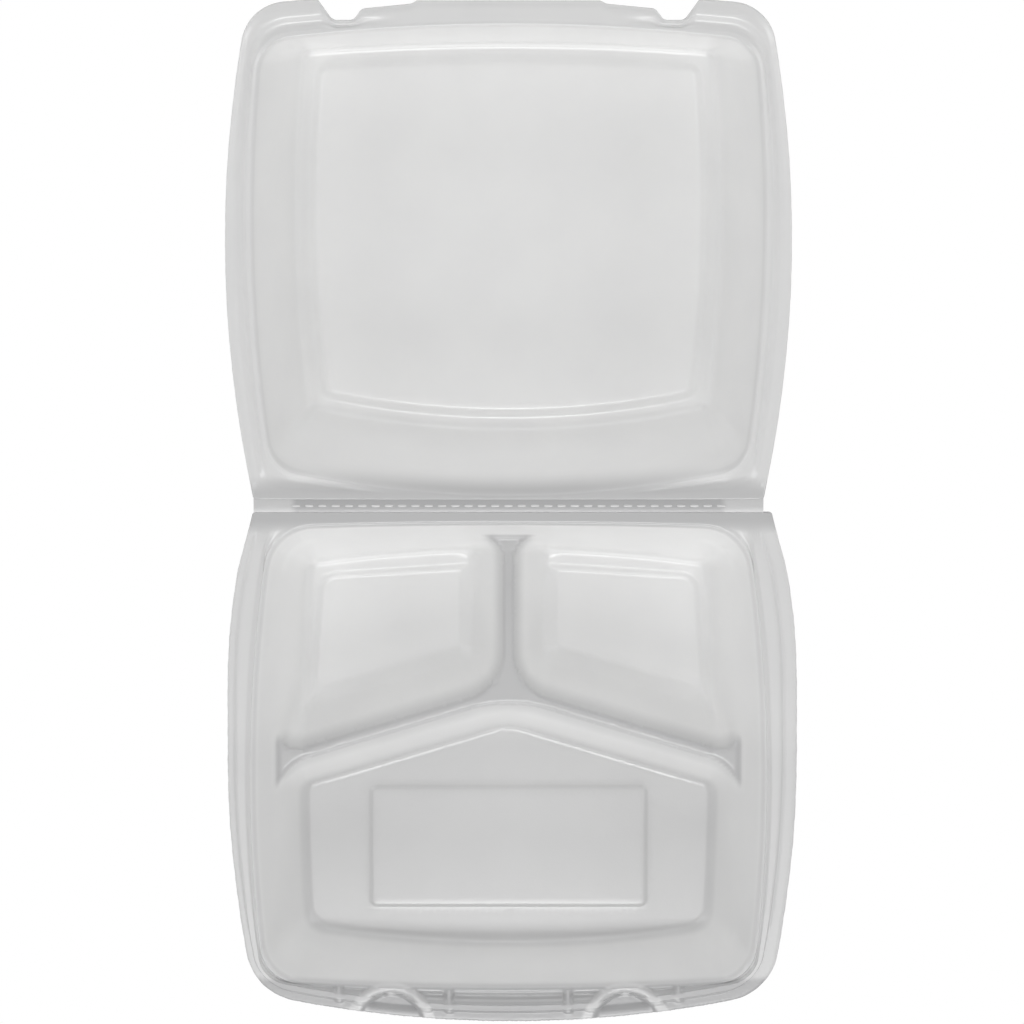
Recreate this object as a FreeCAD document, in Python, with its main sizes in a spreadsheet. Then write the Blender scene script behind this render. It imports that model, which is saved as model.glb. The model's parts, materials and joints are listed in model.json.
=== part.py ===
import FreeCAD, Part
import math
import os
import Sketcher

os.makedirs("parts", exist_ok=True)
doc = FreeCAD.newDocument("foam_clamshell")

# Driving dimensions, in millimetres and degrees.
# Every plan is drawn with y counted from the hinge line towards the front of its own half.
DIMENSIONS = [
    ("rim_height", 41.5, "floor to the hinge line, the same for both halves"),
    ("foam_thickness", 2.2, "thickness of the foam sheet"),
    ("face_gap", 0.3, "gap between the two flanges when the container is shut"),
    ("hinge_gap", 0.3, "gap between the two halves along the fold"),
    ("hinge_from_centre", 99.0, "hinge line to the centre of the base"),
    ("base_half_width", 106.4, "hinge middle to the side of the base flange"),
    ("base_length", 197.0, "hinge line to the front edge of the base flange"),
    ("base_widest_at", 95.0, "hinge line to the widest place of the base flange"),
    ("base_side_radius", 430.0, "bulge of the base flange at the sides"),
    ("base_front_radius", 425.0, "bulge of the base flange at the front"),
    ("base_front_corner", 22.0, "front corner radius of the base flange"),
    ("hinge_corner", 1.5, "corner radius of both flanges at the hinge"),
    ("trim_shift", 1.4, "how far the base flange is trimmed off centre"),
    ("lid_half_width", 104.7, "hinge middle to the side of the lid flange"),
    ("lid_length", 191.0, "hinge line to the front arc of the lid flange"),
    ("lid_widest_at", 97.0, "hinge line to the widest place of the lid flange"),
    ("lid_side_radius", 450.0, "bulge of the lid flange at the sides"),
    ("lid_front_radius", 1100.0, "bulge of the lid flange at the front"),
    ("lid_front_corner", 17.0, "front corner radius of the lid flange"),
    ("cavity_half_width", 95.0, "hinge middle to the side of each cavity at the rim"),
    ("cavity_widest_at", 105.0, "hinge line to the widest place of each cavity"),
    ("cavity_side_radius", 600.0, "bulge of the cavity sides at the rim"),
    ("tray_heel", 7.1, "hinge line to the base cavity"),
    ("tray_heel_radius", 2500.0, "bulge of the base cavity at the hinge side"),
    ("front_land", 13.6, "front edge of the base flange to the base cavity"),
    ("tray_front_radius", 1280.0, "bulge of the base cavity at the front"),
    ("tray_heel_corner", 18.0, "rim corner radius of the base cavity, hinge side"),
    ("tray_front_corner", 15.0, "rim corner radius of the base cavity, front"),
    ("tray_side_draft", 25.4, "slope of the base side walls"),
    ("tray_heel_draft", 22.8, "slope of the base wall at the hinge"),
    ("tray_front_draft", 12.0, "slope of the base front wall"),
    ("tray_floor_side_radius", 1200.0, "bulge of the base floor sides"),
    ("tray_floor_heel_radius", 511.0, "bulge of the base floor at the hinge side"),
    ("tray_floor_front_radius", 433.0, "bulge of the base floor at the front"),
    ("tray_floor_corner", 8.0, "corner radius at the bottom of the base walls"),
    ("lid_heel", 4.4, "hinge line to the lid cavity"),
    ("lid_heel_radius", 395.0, "bulge of the lid cavity at the hinge side"),
    ("lid_cavity_front", 179.4, "hinge line to the front of the lid cavity"),
    ("lid_cavity_front_radius", 700.0, "bulge of the lid cavity at the front"),
    ("lid_rim_corner", 14.0, "rim corner radius of the lid cavity"),
    ("lid_side_draft", 22.3, "slope of the lid side walls"),
    ("lid_heel_draft", 24.3, "slope of the lid wall at the hinge"),
    ("lid_front_draft", 16.3, "slope of the lid front wall"),
    ("lid_floor_side_radius", 611.0, "bulge of the lid panel sides"),
    ("lid_floor_heel_radius", 335.0, "bulge of the lid panel at the hinge side"),
    ("lid_floor_front_radius", 931.0, "bulge of the lid panel at the front"),
    ("lid_floor_corner", 3.5, "corner radius at the bottom of the lid walls"),
    ("band_width", 6.2, "border band round the lid panel"),
    ("panel_step", 1.8, "how far the lid panel is set in from the band"),
    ("panel_corner", 4.0, "corner radius of the lid panel"),
    ("divider_drop", 17.0, "rim down to the crest of the dividers"),
    ("divider_crest", 3.8, "width of the flat crest"),
    ("divider_draft", 35.0, "slope of the divider walls"),
    ("divider_angle", 17.0, "turn of the two slanted dividers"),
    ("junction_from_hinge", 74.0, "hinge line to the point where the dividers meet"),
    ("crest_round", 1.6, "rounding along the crest"),
    ("foot_step", 2.0, "how far the floor of each compartment is set down"),
    ("foot_slope", 40.0, "slope of the edge of each set-down floor"),
    ("tray_round", 3.0, "rounding where the base walls meet the ledge"),
    ("lid_round", 1.5, "rounding where the lid walls meet the band"),
    ("foot_corner", 6.0, "corner radius of the small set-down floors"),
    ("foot_ridge_corner", 3.0, "corner radius of the set-down floors beside the dividers"),
    ("small_foot_heel", 31.0, "hinge line to the small set-down floors"),
    ("small_foot_skew", 3.4, "how far the outer corner lies further out"),
    ("small_foot_half_width", 70.0, "hinge middle to the outer side of the small floors"),
    ("large_foot_half_width", 71.5, "hinge middle to the side of the large floor"),
    ("large_foot_skew", 1.7, "how far the front corners of the large floor lie further in"),
    ("large_foot_inset", 15.4, "front of the base cavity at the rim to the large floor"),
    ("large_foot_corner", 9.0, "front corner radius of the large floor"),
    ("plate_half_width", 52.0, "half the width of the plain raised plate"),
    ("plate_heel", 114.8, "hinge line to the near edge of the plate"),
    ("plate_front", 160.9, "hinge line to the far edge of the plate"),
    ("plate_height", 0.4, "height of the plain raised plate"),
    ("plate_corner", 2.4, "corner radius of the plate"),
    ("bead_height", 0.8, "height of the raised bead on the base flange"),
    ("bead_gap", 0.7, "gap between the lid's step and the bead when shut"),
    ("bead_front_width", 4.4, "width of the bead at the front"),
    ("bead_inset", 3.7, "flange edge to the outside of the bead"),
    ("bead_start", 8.0, "hinge line to the start of the bead"),
    ("land_margin", 1.3, "flat left round the lid cavity inside the step"),
    ("tab_offset", 44.3, "hinge middle to the centre of each half-moon tab"),
    ("tab_radius", 13.4, "radius of the half-moon slit"),
    ("tab_depth", 11.3, "front edge of the base flange to the top of the half-moon slit"),
    ("slit_width", 0.8, "width of the half-moon slit"),
    ("arch_width", 3.6, "width of the raised arch round each slit"),
    ("pit_depth", 0.9, "depth of the small grooves of the front flange"),
    ("groove_half_width", 19.4, "half the length of the front groove"),
    ("groove_depth_in", 11.5, "front edge of the base flange to the far side of the front groove"),
    ("groove_width", 3.1, "width of the front groove"),
    ("rib_offset", 63.7, "hinge middle to each outer rib"),
    ("inner_rib_offset", 22.3, "hinge middle to each inner rib"),
    ("rib_width", 2.0, "width of the ribs of the front flange"),
    ("pit_width", 9.0, "length of the small pits beside the tabs"),
    ("pit_depth_in", 12.8, "front edge of the base flange to the far side of the small pits"),
    ("pit_span", 3.6, "width of the small pits"),
    ("notch_outer", 64.6, "hinge middle to the outer side of each lid notch"),
    ("notch_inner", 57.0, "hinge middle to the inner side of each lid notch"),
    ("notch_depth_at", 181.0, "hinge line to the bottom of the lid notches"),
    ("notch_lean", 9.0, "how far the outer side of a notch leans out"),
    ("flap_end", 53.6, "hinge middle to the end of the lid flap"),
    ("flap_end_at", 185.2, "hinge line to the flap edge at its ends"),
    ("flap_step", 36.0, "hinge middle to the step in the flap edge"),
    ("flap_step_height", 1.2, "height of the step in the flap edge"),
    ("flap_step_run", 2.4, "length of the slope at the step in the flap edge"),
    ("flap_length", 188.2, "hinge line to the middle of the flap edge"),
    ("stitch_pitch", 4.93, "pitch of the pressed dashes of the hinge"),
    ("stitch_length", 3.4, "length of one pressed dash"),
    ("stitch_reach", 80.0, "hinge middle to the last pressed dash"),
    ("stitch_half_width", 0.9, "how far a dash reaches into each half"),
    ("stitch_depth", 0.7, "depth of the pressed dashes"),
]

sheet = doc.addObject("Spreadsheet::Sheet", "dims")
for row, (alias, value, note) in enumerate(DIMENSIONS, start=1):
    sheet.set(f"A{row}", note)
    sheet.set(f"B{row}", str(value))
    sheet.setAlias(f"B{row}", alias)
doc.recompute()

PLANE_TURNS = {"XY": FreeCAD.Rotation(), "XZ": FreeCAD.Rotation(FreeCAD.Vector(1, 0, 0), 90)}
FLANGE_TOP = "(dims.rim_height - dims.face_gap / 2)"
FLANGE_UNDERSIDE = f"({FLANGE_TOP} - dims.foam_thickness)"
LEDGE = "(dims.foot_step + dims.foam_thickness)"
BEAD_TOP = f"({FLANGE_TOP} + dims.bead_height)"
PIT_FLOOR = f"({FLANGE_TOP} - dims.pit_depth)"
CREST = f"({FLANGE_TOP} - dims.divider_drop)"
TRAY_FRONT = "(dims.base_length - dims.front_land)"
TAB_TOP = "(dims.base_length - dims.tab_depth)"
GROOVE_START = "(dims.base_length - dims.groove_depth_in)"
PIT_START = "(dims.base_length - dims.pit_depth_in)"
ARCH_RADIUS = "(dims.tab_radius + dims.arch_width)"
SIDES = (("left", "-"), ("right", ""))


def number(expression):
    """Value of a sheet expression."""
    return float(sheet.evalExpression(expression))


def bind(thing, path, expression):
    thing.setExpression(path, expression)


def new_sketch(name, level="0", plane="XY"):
    sketch = doc.addObject("Sketcher::SketchObject", name)
    sketch.Placement = FreeCAD.Placement(FreeCAD.Vector(0, 0, number(level)), PLANE_TURNS[plane])
    bind(sketch, "Placement.Base.z", level)
    return sketch


def hold(sketch, kind, target, expression):
    """Fix a radius, or a point's distance from the sketch origin, to an expression."""
    value = number(expression)
    if kind == "Radius":
        index = sketch.addConstraint(Sketcher.Constraint("Radius", target, value))
    elif value >= 0:
        index = sketch.addConstraint(Sketcher.Constraint(kind, -1, 1, *target, value))
    else:
        index = sketch.addConstraint(Sketcher.Constraint(kind, *target, -1, 1, -value))
        expression = f"-({expression})"
    bind(sketch, f"Constraints[{index}]", expression)


def arc(centre, radius, start, end):
    circle = Part.Circle(FreeCAD.Vector(centre[0], centre[1], 0), FreeCAD.Vector(0, 0, 1), radius)
    return Part.ArcOfCircle(circle, start, end)


def crossings(a, radius_a, b, radius_b):
    """The two points where a circle about a meets a circle about b."""
    dx, dy = b[0] - a[0], b[1] - a[1]
    gap = math.hypot(dx, dy)
    along = (radius_a ** 2 - radius_b ** 2 + gap ** 2) / (2 * gap)
    across = math.sqrt(radius_a ** 2 - along ** 2)
    return [(a[0] + (along * dx - turn * across * dy) / gap, a[1] + (along * dy + turn * across * dx) / gap)
            for turn in (1, -1)]


def outline(name, level, half, heel, front, widest, side_r, heel_r, front_r, heel_corner, front_corner):
    """A bulged rectangle of arcs: heel, sides and front, with rounded corners.

    heel_r of None draws a straight heel.
    """
    sketch = new_sketch(name, level)
    w, y0, y1, ym = number(half), number(heel), number(front), number(widest)
    rs, rf, c0, c1 = number(side_r), number(front_r), number(heel_corner), number(front_corner)
    side = (w - rs, ym)
    nose = (0.0, y1 - rf)
    toe = max(crossings(side, rs - c1, nose, rf - c1), key=lambda spot: spot[1])
    toe_low = math.atan2(toe[1] - side[1], toe[0] - side[0])
    toe_high = math.atan2(toe[1] - nose[1], toe[0] - nose[0])
    if heel_r is None:
        corner_y = y0 + c0
        corner = (side[0] + math.sqrt((rs - c0) ** 2 - (corner_y - ym) ** 2), corner_y)
        start = -math.pi / 2
    else:
        rb = number(heel_r)
        back = (0.0, y0 + rb)
        corner = min(crossings(side, rs - c0, back, rb - c0), key=lambda spot: spot[1])
        start = math.atan2(corner[1] - back[1], corner[0] - back[0])
    low = math.atan2(corner[1] - side[1], corner[0] - side[0])
    if heel_r is None:
        ends = FreeCAD.Vector(-corner[0], y0, 0), FreeCAD.Vector(corner[0], y0, 0)
        first = sketch.addGeometry(Part.LineSegment(*ends))
        sketch.addConstraint(Sketcher.Constraint("Horizontal", first))
        hold(sketch, "DistanceY", (first, 1), heel)
    else:
        first = sketch.addGeometry(arc(back, rb, math.pi - start if start > 0 else -math.pi - start, start))
        hold(sketch, "DistanceX", (first, 3), "0")
        hold(sketch, "DistanceY", (first, 3), f"({heel}) + ({heel_r})")
        hold(sketch, "Radius", first, heel_r)
    edges = [first]
    edges.append(sketch.addGeometry(arc(corner, c0, start, low)))
    edges.append(sketch.addGeometry(arc(side, rs, low, toe_low)))
    edges.append(sketch.addGeometry(arc(toe, c1, toe_low, toe_high)))
    edges.append(sketch.addGeometry(arc(nose, rf, toe_high, math.pi - toe_high)))
    edges.append(sketch.addGeometry(arc((-toe[0], toe[1]), c1, math.pi - toe_high, math.pi - toe_low)))
    edges.append(sketch.addGeometry(arc((-side[0], ym), rs, math.pi - toe_low, math.pi - low)))
    edges.append(sketch.addGeometry(arc((-corner[0], corner[1]), c0, math.pi - low, math.pi - start)))
    half_radii = [heel_corner, side_r, front_corner]
    for edge, radius in zip(edges[1:], half_radii + [front_r] + half_radii[::-1]):
        hold(sketch, "Radius", edge, radius)
    hold(sketch, "DistanceX", (edges[2], 3), f"({half}) - ({side_r})")
    hold(sketch, "DistanceX", (edges[6], 3), f"({side_r}) - ({half})")
    for edge in (edges[2], edges[6]):
        hold(sketch, "DistanceY", (edge, 3), widest)
    hold(sketch, "DistanceX", (edges[4], 3), "0")
    hold(sketch, "DistanceY", (edges[4], 3), f"({front}) - ({front_r})")
    for edge, following in zip(edges, edges[1:] + edges[:1]):
        sketch.addConstraint(Sketcher.Constraint("Tangent", edge, 2, following, 1))
    return sketch


def polygon(name, corners, level="0", plane="XY"):
    """A polygon of (x, y, corner radius) expressions; a radius of None leaves the corner sharp."""
    sketch = new_sketch(name, level, plane)
    spots = [FreeCAD.Vector(number(x), number(y), 0) for x, y, radius in corners]
    count = len(spots)
    starts, ends, rounds = [], [], {}
    for i, (x, y, radius) in enumerate(corners):
        before = (spots[i - 1] - spots[i]).normalize()
        after = (spots[(i + 1) % count] - spots[i]).normalize()
        if radius is None:
            starts.append(spots[i])
            ends.append(spots[i])
            continue
        r = number(radius)
        half_turn = before.getAngle(after) / 2
        reach = r / math.tan(half_turn)
        ends.append(spots[i] + before * reach)
        starts.append(spots[i] + after * reach)
        bisector = (before + after).normalize()
        rounds[i] = (spots[i] + bisector * (r / math.sin(half_turn)), r)
    lines = []
    for i in range(count):
        lines.append(sketch.addGeometry(Part.LineSegment(starts[i], ends[(i + 1) % count])))
    for i, (x, y, radius) in enumerate(corners):
        line_in, line_out = lines[i - 1], lines[i]
        if radius is None:
            sketch.addConstraint(Sketcher.Constraint("Coincident", line_in, 2, line_out, 1))
            hold(sketch, "DistanceX", (line_out, 1), x)
            hold(sketch, "DistanceY", (line_out, 1), y)
            continue
        centre, r = rounds[i]
        a0 = math.atan2(ends[i].y - centre.y, ends[i].x - centre.x)
        a1 = math.atan2(starts[i].y - centre.y, starts[i].x - centre.x)
        heading_in, heading_out = spots[i] - spots[i - 1], spots[(i + 1) % count] - spots[i]
        turns_left = heading_in.cross(heading_out).z > 0
        if not turns_left:
            a0, a1 = a1, a0
        bend = sketch.addGeometry(arc((centre.x, centre.y), r, a0, a1))
        spot = sketch.addGeometry(Part.Point(spots[i]), True)
        hold(sketch, "DistanceX", (spot, 1), x)
        hold(sketch, "DistanceY", (spot, 1), y)
        hold(sketch, "Radius", bend, radius)
        sketch.addConstraint(Sketcher.Constraint("PointOnObject", spot, 1, line_in))
        sketch.addConstraint(Sketcher.Constraint("PointOnObject", spot, 1, line_out))
        bend_start, bend_end = (1, 2) if turns_left else (2, 1)
        sketch.addConstraint(Sketcher.Constraint("Tangent", line_in, 2, bend, bend_start))
        sketch.addConstraint(Sketcher.Constraint("Tangent", bend, bend_end, line_out, 1))
    return sketch


def extrude(name, profile, length, direction=(0, 0, 1), taper=None):
    solid = doc.addObject("Part::Extrusion", name)
    solid.Base = profile
    solid.DirMode = "Custom"
    solid.Dir = FreeCAD.Vector(*direction)
    solid.Solid = True
    bind(solid, "LengthFwd", length)
    if taper:
        bind(solid, "TaperAngle", taper)
    return solid


def loft(name, sections):
    solid = doc.addObject("Part::Loft", name)
    solid.Sections = sections
    solid.Solid = True
    solid.Ruled = True
    return solid


def rounded_floor(name, solid, level, radius):
    """Round the bottom edges of a tub, found at their level."""
    doc.recompute()
    height = number(level)
    edges = [i for i, edge in enumerate(solid.Shape.Edges, start=1)
             if abs(edge.BoundBox.ZMin - height) < 0.001 and abs(edge.BoundBox.ZMax - height) < 0.001]
    smooth = doc.addObject("Part::Fillet", name)
    smooth.Base = solid
    smooth.Edges = [(i, number(radius), number(radius)) for i in edges]
    return smooth


def fuse(name, shapes):
    joined = doc.addObject("Part::MultiFuse", name)
    joined.Shapes = shapes
    return joined


def cut(name, base, tool):
    left = doc.addObject("Part::Cut", name)
    left.Base = base
    left.Tool = tool
    return left


def common(name, base, tool):
    shared = doc.addObject("Part::Common", name)
    shared.Base = base
    shared.Tool = tool
    return shared


def mirrored(name, source):
    """The same shape on the other side of the middle."""
    copy = doc.addObject("Part::Mirroring", name)
    copy.Source = source
    copy.Base = FreeCAD.Vector(0, 0, 0)
    copy.Normal = FreeCAD.Vector(1, 0, 0)
    return copy


def block(name, x0, x1, y0, y1, z0, z1):
    """A box between pairs of expressions."""
    box = doc.addObject("Part::Box", name)
    bind(box, "Length", f"{x1} - ({x0})")
    bind(box, "Width", f"{y1} - ({y0})")
    bind(box, "Height", f"{z1} - ({z0})")
    bind(box, "Placement.Base.x", x0)
    bind(box, "Placement.Base.y", y0)
    bind(box, "Placement.Base.z", z0)
    return box


def cylinder(name, x, y, z0, z1, radius):
    post = doc.addObject("Part::Cylinder", name)
    bind(post, "Radius", radius)
    bind(post, "Height", f"{z1} - ({z0})")
    bind(post, "Placement.Base.x", x)
    bind(post, "Placement.Base.y", y)
    bind(post, "Placement.Base.z", z0)
    return post


def finish(name, source, turned):
    """The named piece, moved from hinge measure to the frame of the whole container."""
    piece = doc.addObject("Part::Refine", name)
    piece.Source = source
    piece.Label = name
    if turned:
        piece.Placement = FreeCAD.Placement(FreeCAD.Vector(), FreeCAD.Rotation(FreeCAD.Vector(0, 0, 1), 180))
    bind(piece, "Placement.Base.y", "dims.hinge_from_centre")
    return piece


def wall_step(level, draft):
    """How far a cavity wall has come in at a level below the flange top."""
    return f"({FLANGE_TOP} - ({level})) * tan(dims.{draft})"


def skin(draft):
    """Level thickness of the foam in a sloping wall."""
    return f"dims.foam_thickness / cos(dims.{draft})"


def wall_place(level, draft, skinned):
    """How far a wall face lies inside the rim line of the cavity at a level."""
    step = wall_step(level, draft)
    return f"({step} - {skin(draft)})" if skinned else f"({step})"


def tray_level(name, level, skinned, at_rim):
    """Plan of the base tub at one level, on its inside or its outside."""
    side, heel, front = (wall_place(level, draft, skinned)
                         for draft in ("tray_side_draft", "tray_heel_draft", "tray_front_draft"))
    growth = "dims.foam_thickness" if skinned else "0"
    radii = ("cavity_side_radius", "tray_heel_radius", "tray_front_radius",
             "tray_heel_corner", "tray_front_corner")
    if not at_rim:
        radii = ("tray_floor_side_radius", "tray_floor_heel_radius", "tray_floor_front_radius",
                 "tray_floor_corner", "tray_floor_corner")
    return outline(
        name, level,
        f"dims.cavity_half_width - {side}", f"dims.tray_heel + {heel}", f"{TRAY_FRONT} - {front}",
        "dims.cavity_widest_at",
        *[f"dims.{r} + {growth}" for r in radii])


def lid_level(name, level, skinned, at_rim):
    """Plan of the lid tub at one level, on its inside or its outside."""
    side, heel, front = (wall_place(level, draft, skinned)
                         for draft in ("lid_side_draft", "lid_heel_draft", "lid_front_draft"))
    growth = "dims.foam_thickness" if skinned else "0"
    radii = ("cavity_side_radius", "lid_heel_radius", "lid_cavity_front_radius",
             "lid_rim_corner", "lid_rim_corner")
    if not at_rim:
        radii = ("lid_floor_side_radius", "lid_floor_heel_radius", "lid_floor_front_radius",
                 "lid_floor_corner", "lid_floor_corner")
    return outline(
        name, level,
        f"dims.cavity_half_width - {side}", f"dims.lid_heel + {heel}", f"dims.lid_cavity_front - {front}",
        "dims.cavity_widest_at",
        *[f"dims.{r} + {growth}" for r in radii])


def base_ring(name, level, inset):
    """The base flange outline drawn in by an inset."""
    return outline(
        name, level,
        f"dims.base_half_width - {inset}", "dims.hinge_gap / 2", f"dims.base_length - {inset}",
        "dims.base_widest_at", f"dims.base_side_radius - {inset}", None,
        f"dims.base_front_radius - {inset}", "dims.hinge_corner", f"dims.base_front_corner - {inset}")


def tab_disc(name, sign, z0, z1, radius):
    """A disc about the middle of one half-moon tab."""
    return cylinder(name, f"{sign}dims.tab_offset", f"{TAB_TOP} + dims.tab_radius", z0, z1, radius)


# Base flange and its raised bead
def base_flange():
    plate = base_ring("base_flange_plan", FLANGE_UNDERSIDE, "0")
    bind(plate, "Placement.Base.x", "-dims.trim_shift")
    flange = extrude("base_flange_plate", plate, "dims.foam_thickness")
    bead_outer = base_ring("bead_outer_plan", FLANGE_TOP, "dims.bead_inset")
    inner_front = "(dims.bead_inset + dims.bead_front_width)"
    inner_margin = "dims.land_margin + dims.bead_gap"
    bead_inner = outline(
        "bead_inner_plan", FLANGE_TOP,
        f"dims.cavity_half_width + {inner_margin}", "dims.hinge_gap / 2",
        f"dims.base_length - {inner_front}", "dims.cavity_widest_at",
        f"dims.cavity_side_radius + {inner_margin}", None,
        f"dims.base_front_radius - {inner_front}", "dims.hinge_corner",
        f"dims.base_front_corner - {inner_front}")
    ring = cut("bead_ring", extrude("bead_outer", bead_outer, "dims.bead_height"),
               extrude("bead_inner", bead_inner, "dims.bead_height"))
    hinge_end = block("bead_hinge_end", "-dims.base_half_width", "dims.base_half_width",
                      "0", "dims.bead_start", FLANGE_TOP, BEAD_TOP)
    trimmed = cut("bead_trimmed", ring, hinge_end)
    gaps = [tab_disc(f"bead_gap_{side}", sign, FLANGE_TOP, BEAD_TOP, "dims.tab_radius")
            for side, sign in SIDES]
    return [flange, cut("bead", trimmed, fuse("bead_gaps", gaps))]


# Raised arches round the half-moon tabs, and the ribs beside them
def front_arches():
    raised = []
    for side, sign in SIDES:
        outer = tab_disc(f"arch_outer_{side}", sign, FLANGE_TOP, BEAD_TOP, ARCH_RADIUS)
        inner = tab_disc(f"arch_inner_{side}", sign, FLANGE_TOP, BEAD_TOP, "dims.tab_radius")
        raised.append(cut(f"arch_ring_{side}", outer, inner))
        for place in ("rib_offset", "inner_rib_offset"):
            middle = f"{sign}dims.{place}"
            raised.append(block(
                f"{place}_{side}", f"{middle} - dims.rib_width / 2", f"{middle} + dims.rib_width / 2",
                GROOVE_START, "dims.base_length - dims.bead_inset", FLANGE_TOP, BEAD_TOP))
    plan = base_ring("arch_field_plan", FLANGE_TOP, "dims.bead_inset")
    field = extrude("arch_field", plan, "dims.bead_height")
    return common("front_arches", fuse("front_raised", raised), field)


def front_pit(name, side, sign, x0, x1):
    """A shallow pit that stops at the raised arch."""
    near, far = (x0, x1) if sign == "" else (f"-({x1})", f"-({x0})")
    pit = block(f"{name}_box_{side}", near, far, PIT_START, f"{PIT_START} + dims.pit_span",
                PIT_FLOOR, BEAD_TOP)
    arch = tab_disc(f"{name}_arch_{side}", sign, PIT_FLOOR, BEAD_TOP, ARCH_RADIUS)
    return cut(f"{name}_{side}", pit, arch)


# Slits of the half-moon tabs, the front groove and the small pits
def front_cuts():
    tools = []
    low = f"({FLANGE_UNDERSIDE} - dims.slit_width)"
    high = f"({BEAD_TOP} + dims.slit_width)"
    outer_rib = "dims.rib_offset - dims.rib_width / 2"
    inner_rib = "dims.inner_rib_offset + dims.rib_width / 2"
    for side, sign in SIDES:
        outer = tab_disc(f"slit_outer_{side}", sign, low, high, "dims.tab_radius")
        inner = tab_disc(f"slit_inner_{side}", sign, low, high, "dims.tab_radius - dims.slit_width")
        bridge = block(
            f"slit_bridge_{side}", f"{sign}dims.tab_offset - {ARCH_RADIUS}",
            f"{sign}dims.tab_offset + {ARCH_RADIUS}", "dims.base_length - dims.bead_inset",
            f"dims.base_length + {ARCH_RADIUS}", low, high)
        tools.append(cut(f"slit_{side}", cut(f"slit_ring_{side}", outer, inner), bridge))
        tools.append(front_pit("outer_pit", side, sign, f"{outer_rib} - dims.pit_width", outer_rib))
        tools.append(front_pit("inner_pit", side, sign, inner_rib, f"{inner_rib} + dims.pit_width"))
    tools.append(block("front_groove", "-dims.groove_half_width", "dims.groove_half_width",
                       GROOVE_START, f"{GROOVE_START} + dims.groove_width", PIT_FLOOR, BEAD_TOP))
    return fuse("front_cuts", tools)


# Pressed dashes along the fold, half in each flange
def stitches(name):
    count = int(number("2 * dims.stitch_reach / dims.stitch_pitch")) + 1
    dashes = []
    for i in range(count):
        middle = f"({i} - {(count - 1) / 2}) * dims.stitch_pitch"
        dashes.append(block(
            f"{name}_{i + 1}", f"{middle} - dims.stitch_length / 2", f"{middle} + dims.stitch_length / 2",
            "0", "dims.hinge_gap / 2 + dims.stitch_half_width",
            f"{FLANGE_TOP} - dims.stitch_depth", FLANGE_TOP))
    return fuse(name, dashes)


# Set-down floors of the three compartments; each also makes the foot under it
def floor_plans(level, grown):
    """Plans of the left, right and large set-down floors at one level."""
    out = "dims.foam_thickness" if grown else "0"
    tag = "foot" if grown else "floor"
    lean = "tan(dims.divider_angle)"
    wall = f"({CREST} - dims.foam_thickness) * tan(dims.divider_draft)"
    ridge = f"(dims.divider_crest / 2 + {wall})"
    across = f"{ridge} / cos(dims.divider_angle)"
    inner_x = f"({ridge} - {out})"
    outer_x = f"(dims.small_foot_half_width + {out})"
    heel = f"(dims.small_foot_heel - {out})"
    lower = f"dims.junction_from_hinge - {across} + {out}"
    corner = f"dims.foot_corner + {out}"
    tight = f"dims.foot_ridge_corner + {out}"
    large_corner = f"dims.large_foot_corner + {out}"
    small = polygon(f"small_{tag}_plan", [
        (inner_x, heel, corner),
        (outer_x, f"{heel} + dims.small_foot_skew", corner),
        (f"{outer_x} + dims.small_foot_skew", f"{lower} + {outer_x} * {lean}", tight),
        (inner_x, f"{lower} + {inner_x} * {lean}", tight)], level)
    large_x = f"(dims.large_foot_half_width + {out})"
    upper = f"dims.junction_from_hinge + {across} - {out}"
    large_front = f"{TRAY_FRONT} - dims.large_foot_inset + {out}"
    large = polygon(f"large_{tag}_plan", [
        ("0", upper, None),
        (large_x, f"{upper} + {large_x} * {lean}", tight),
        (f"{large_x} - dims.large_foot_skew", large_front, large_corner),
        (f"dims.large_foot_skew - {large_x}", large_front, large_corner),
        (f"-{large_x}", f"{upper} + {large_x} * {lean}", tight)], level)
    return small, large


def set_down(name, level, grown, taper):
    small_plan, large_plan = floor_plans(level, grown)
    small = extrude(f"{name}_small", small_plan, "dims.foot_step", taper=taper)
    large = extrude(f"{name}_large", large_plan, "dims.foot_step", taper=taper)
    return fuse(name, [small, mirrored(f"{name}_small_mirror", small), large])


# Dividers: three ridges that meet, hollow from below
def divider_bars(name, top, half_crest, half_foot, floor, rounding):
    """Three sloping bars from the point where the dividers meet."""
    profile = [
        (f"-{half_foot}", floor, None),
        (half_foot, floor, None),
        (half_crest, top, rounding),
        (f"-{half_crest}", top, rounding)]
    bars = []
    slant = "90 - dims.divider_angle"
    for place, turn in (("heel", "180"), ("left", f"-({slant})"), ("right", slant)):
        section = polygon(f"{name}_{place}_section", profile, "0", "XZ")
        bar = extrude(f"{name}_{place}", section, "dims.base_length", (0, 1, 0))
        bind(bar, "Placement.Base.y", "dims.junction_from_hinge")
        bind(bar, "Placement.Rotation.Angle", turn)
        bars.append(bar)
    return fuse(name, bars)


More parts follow.
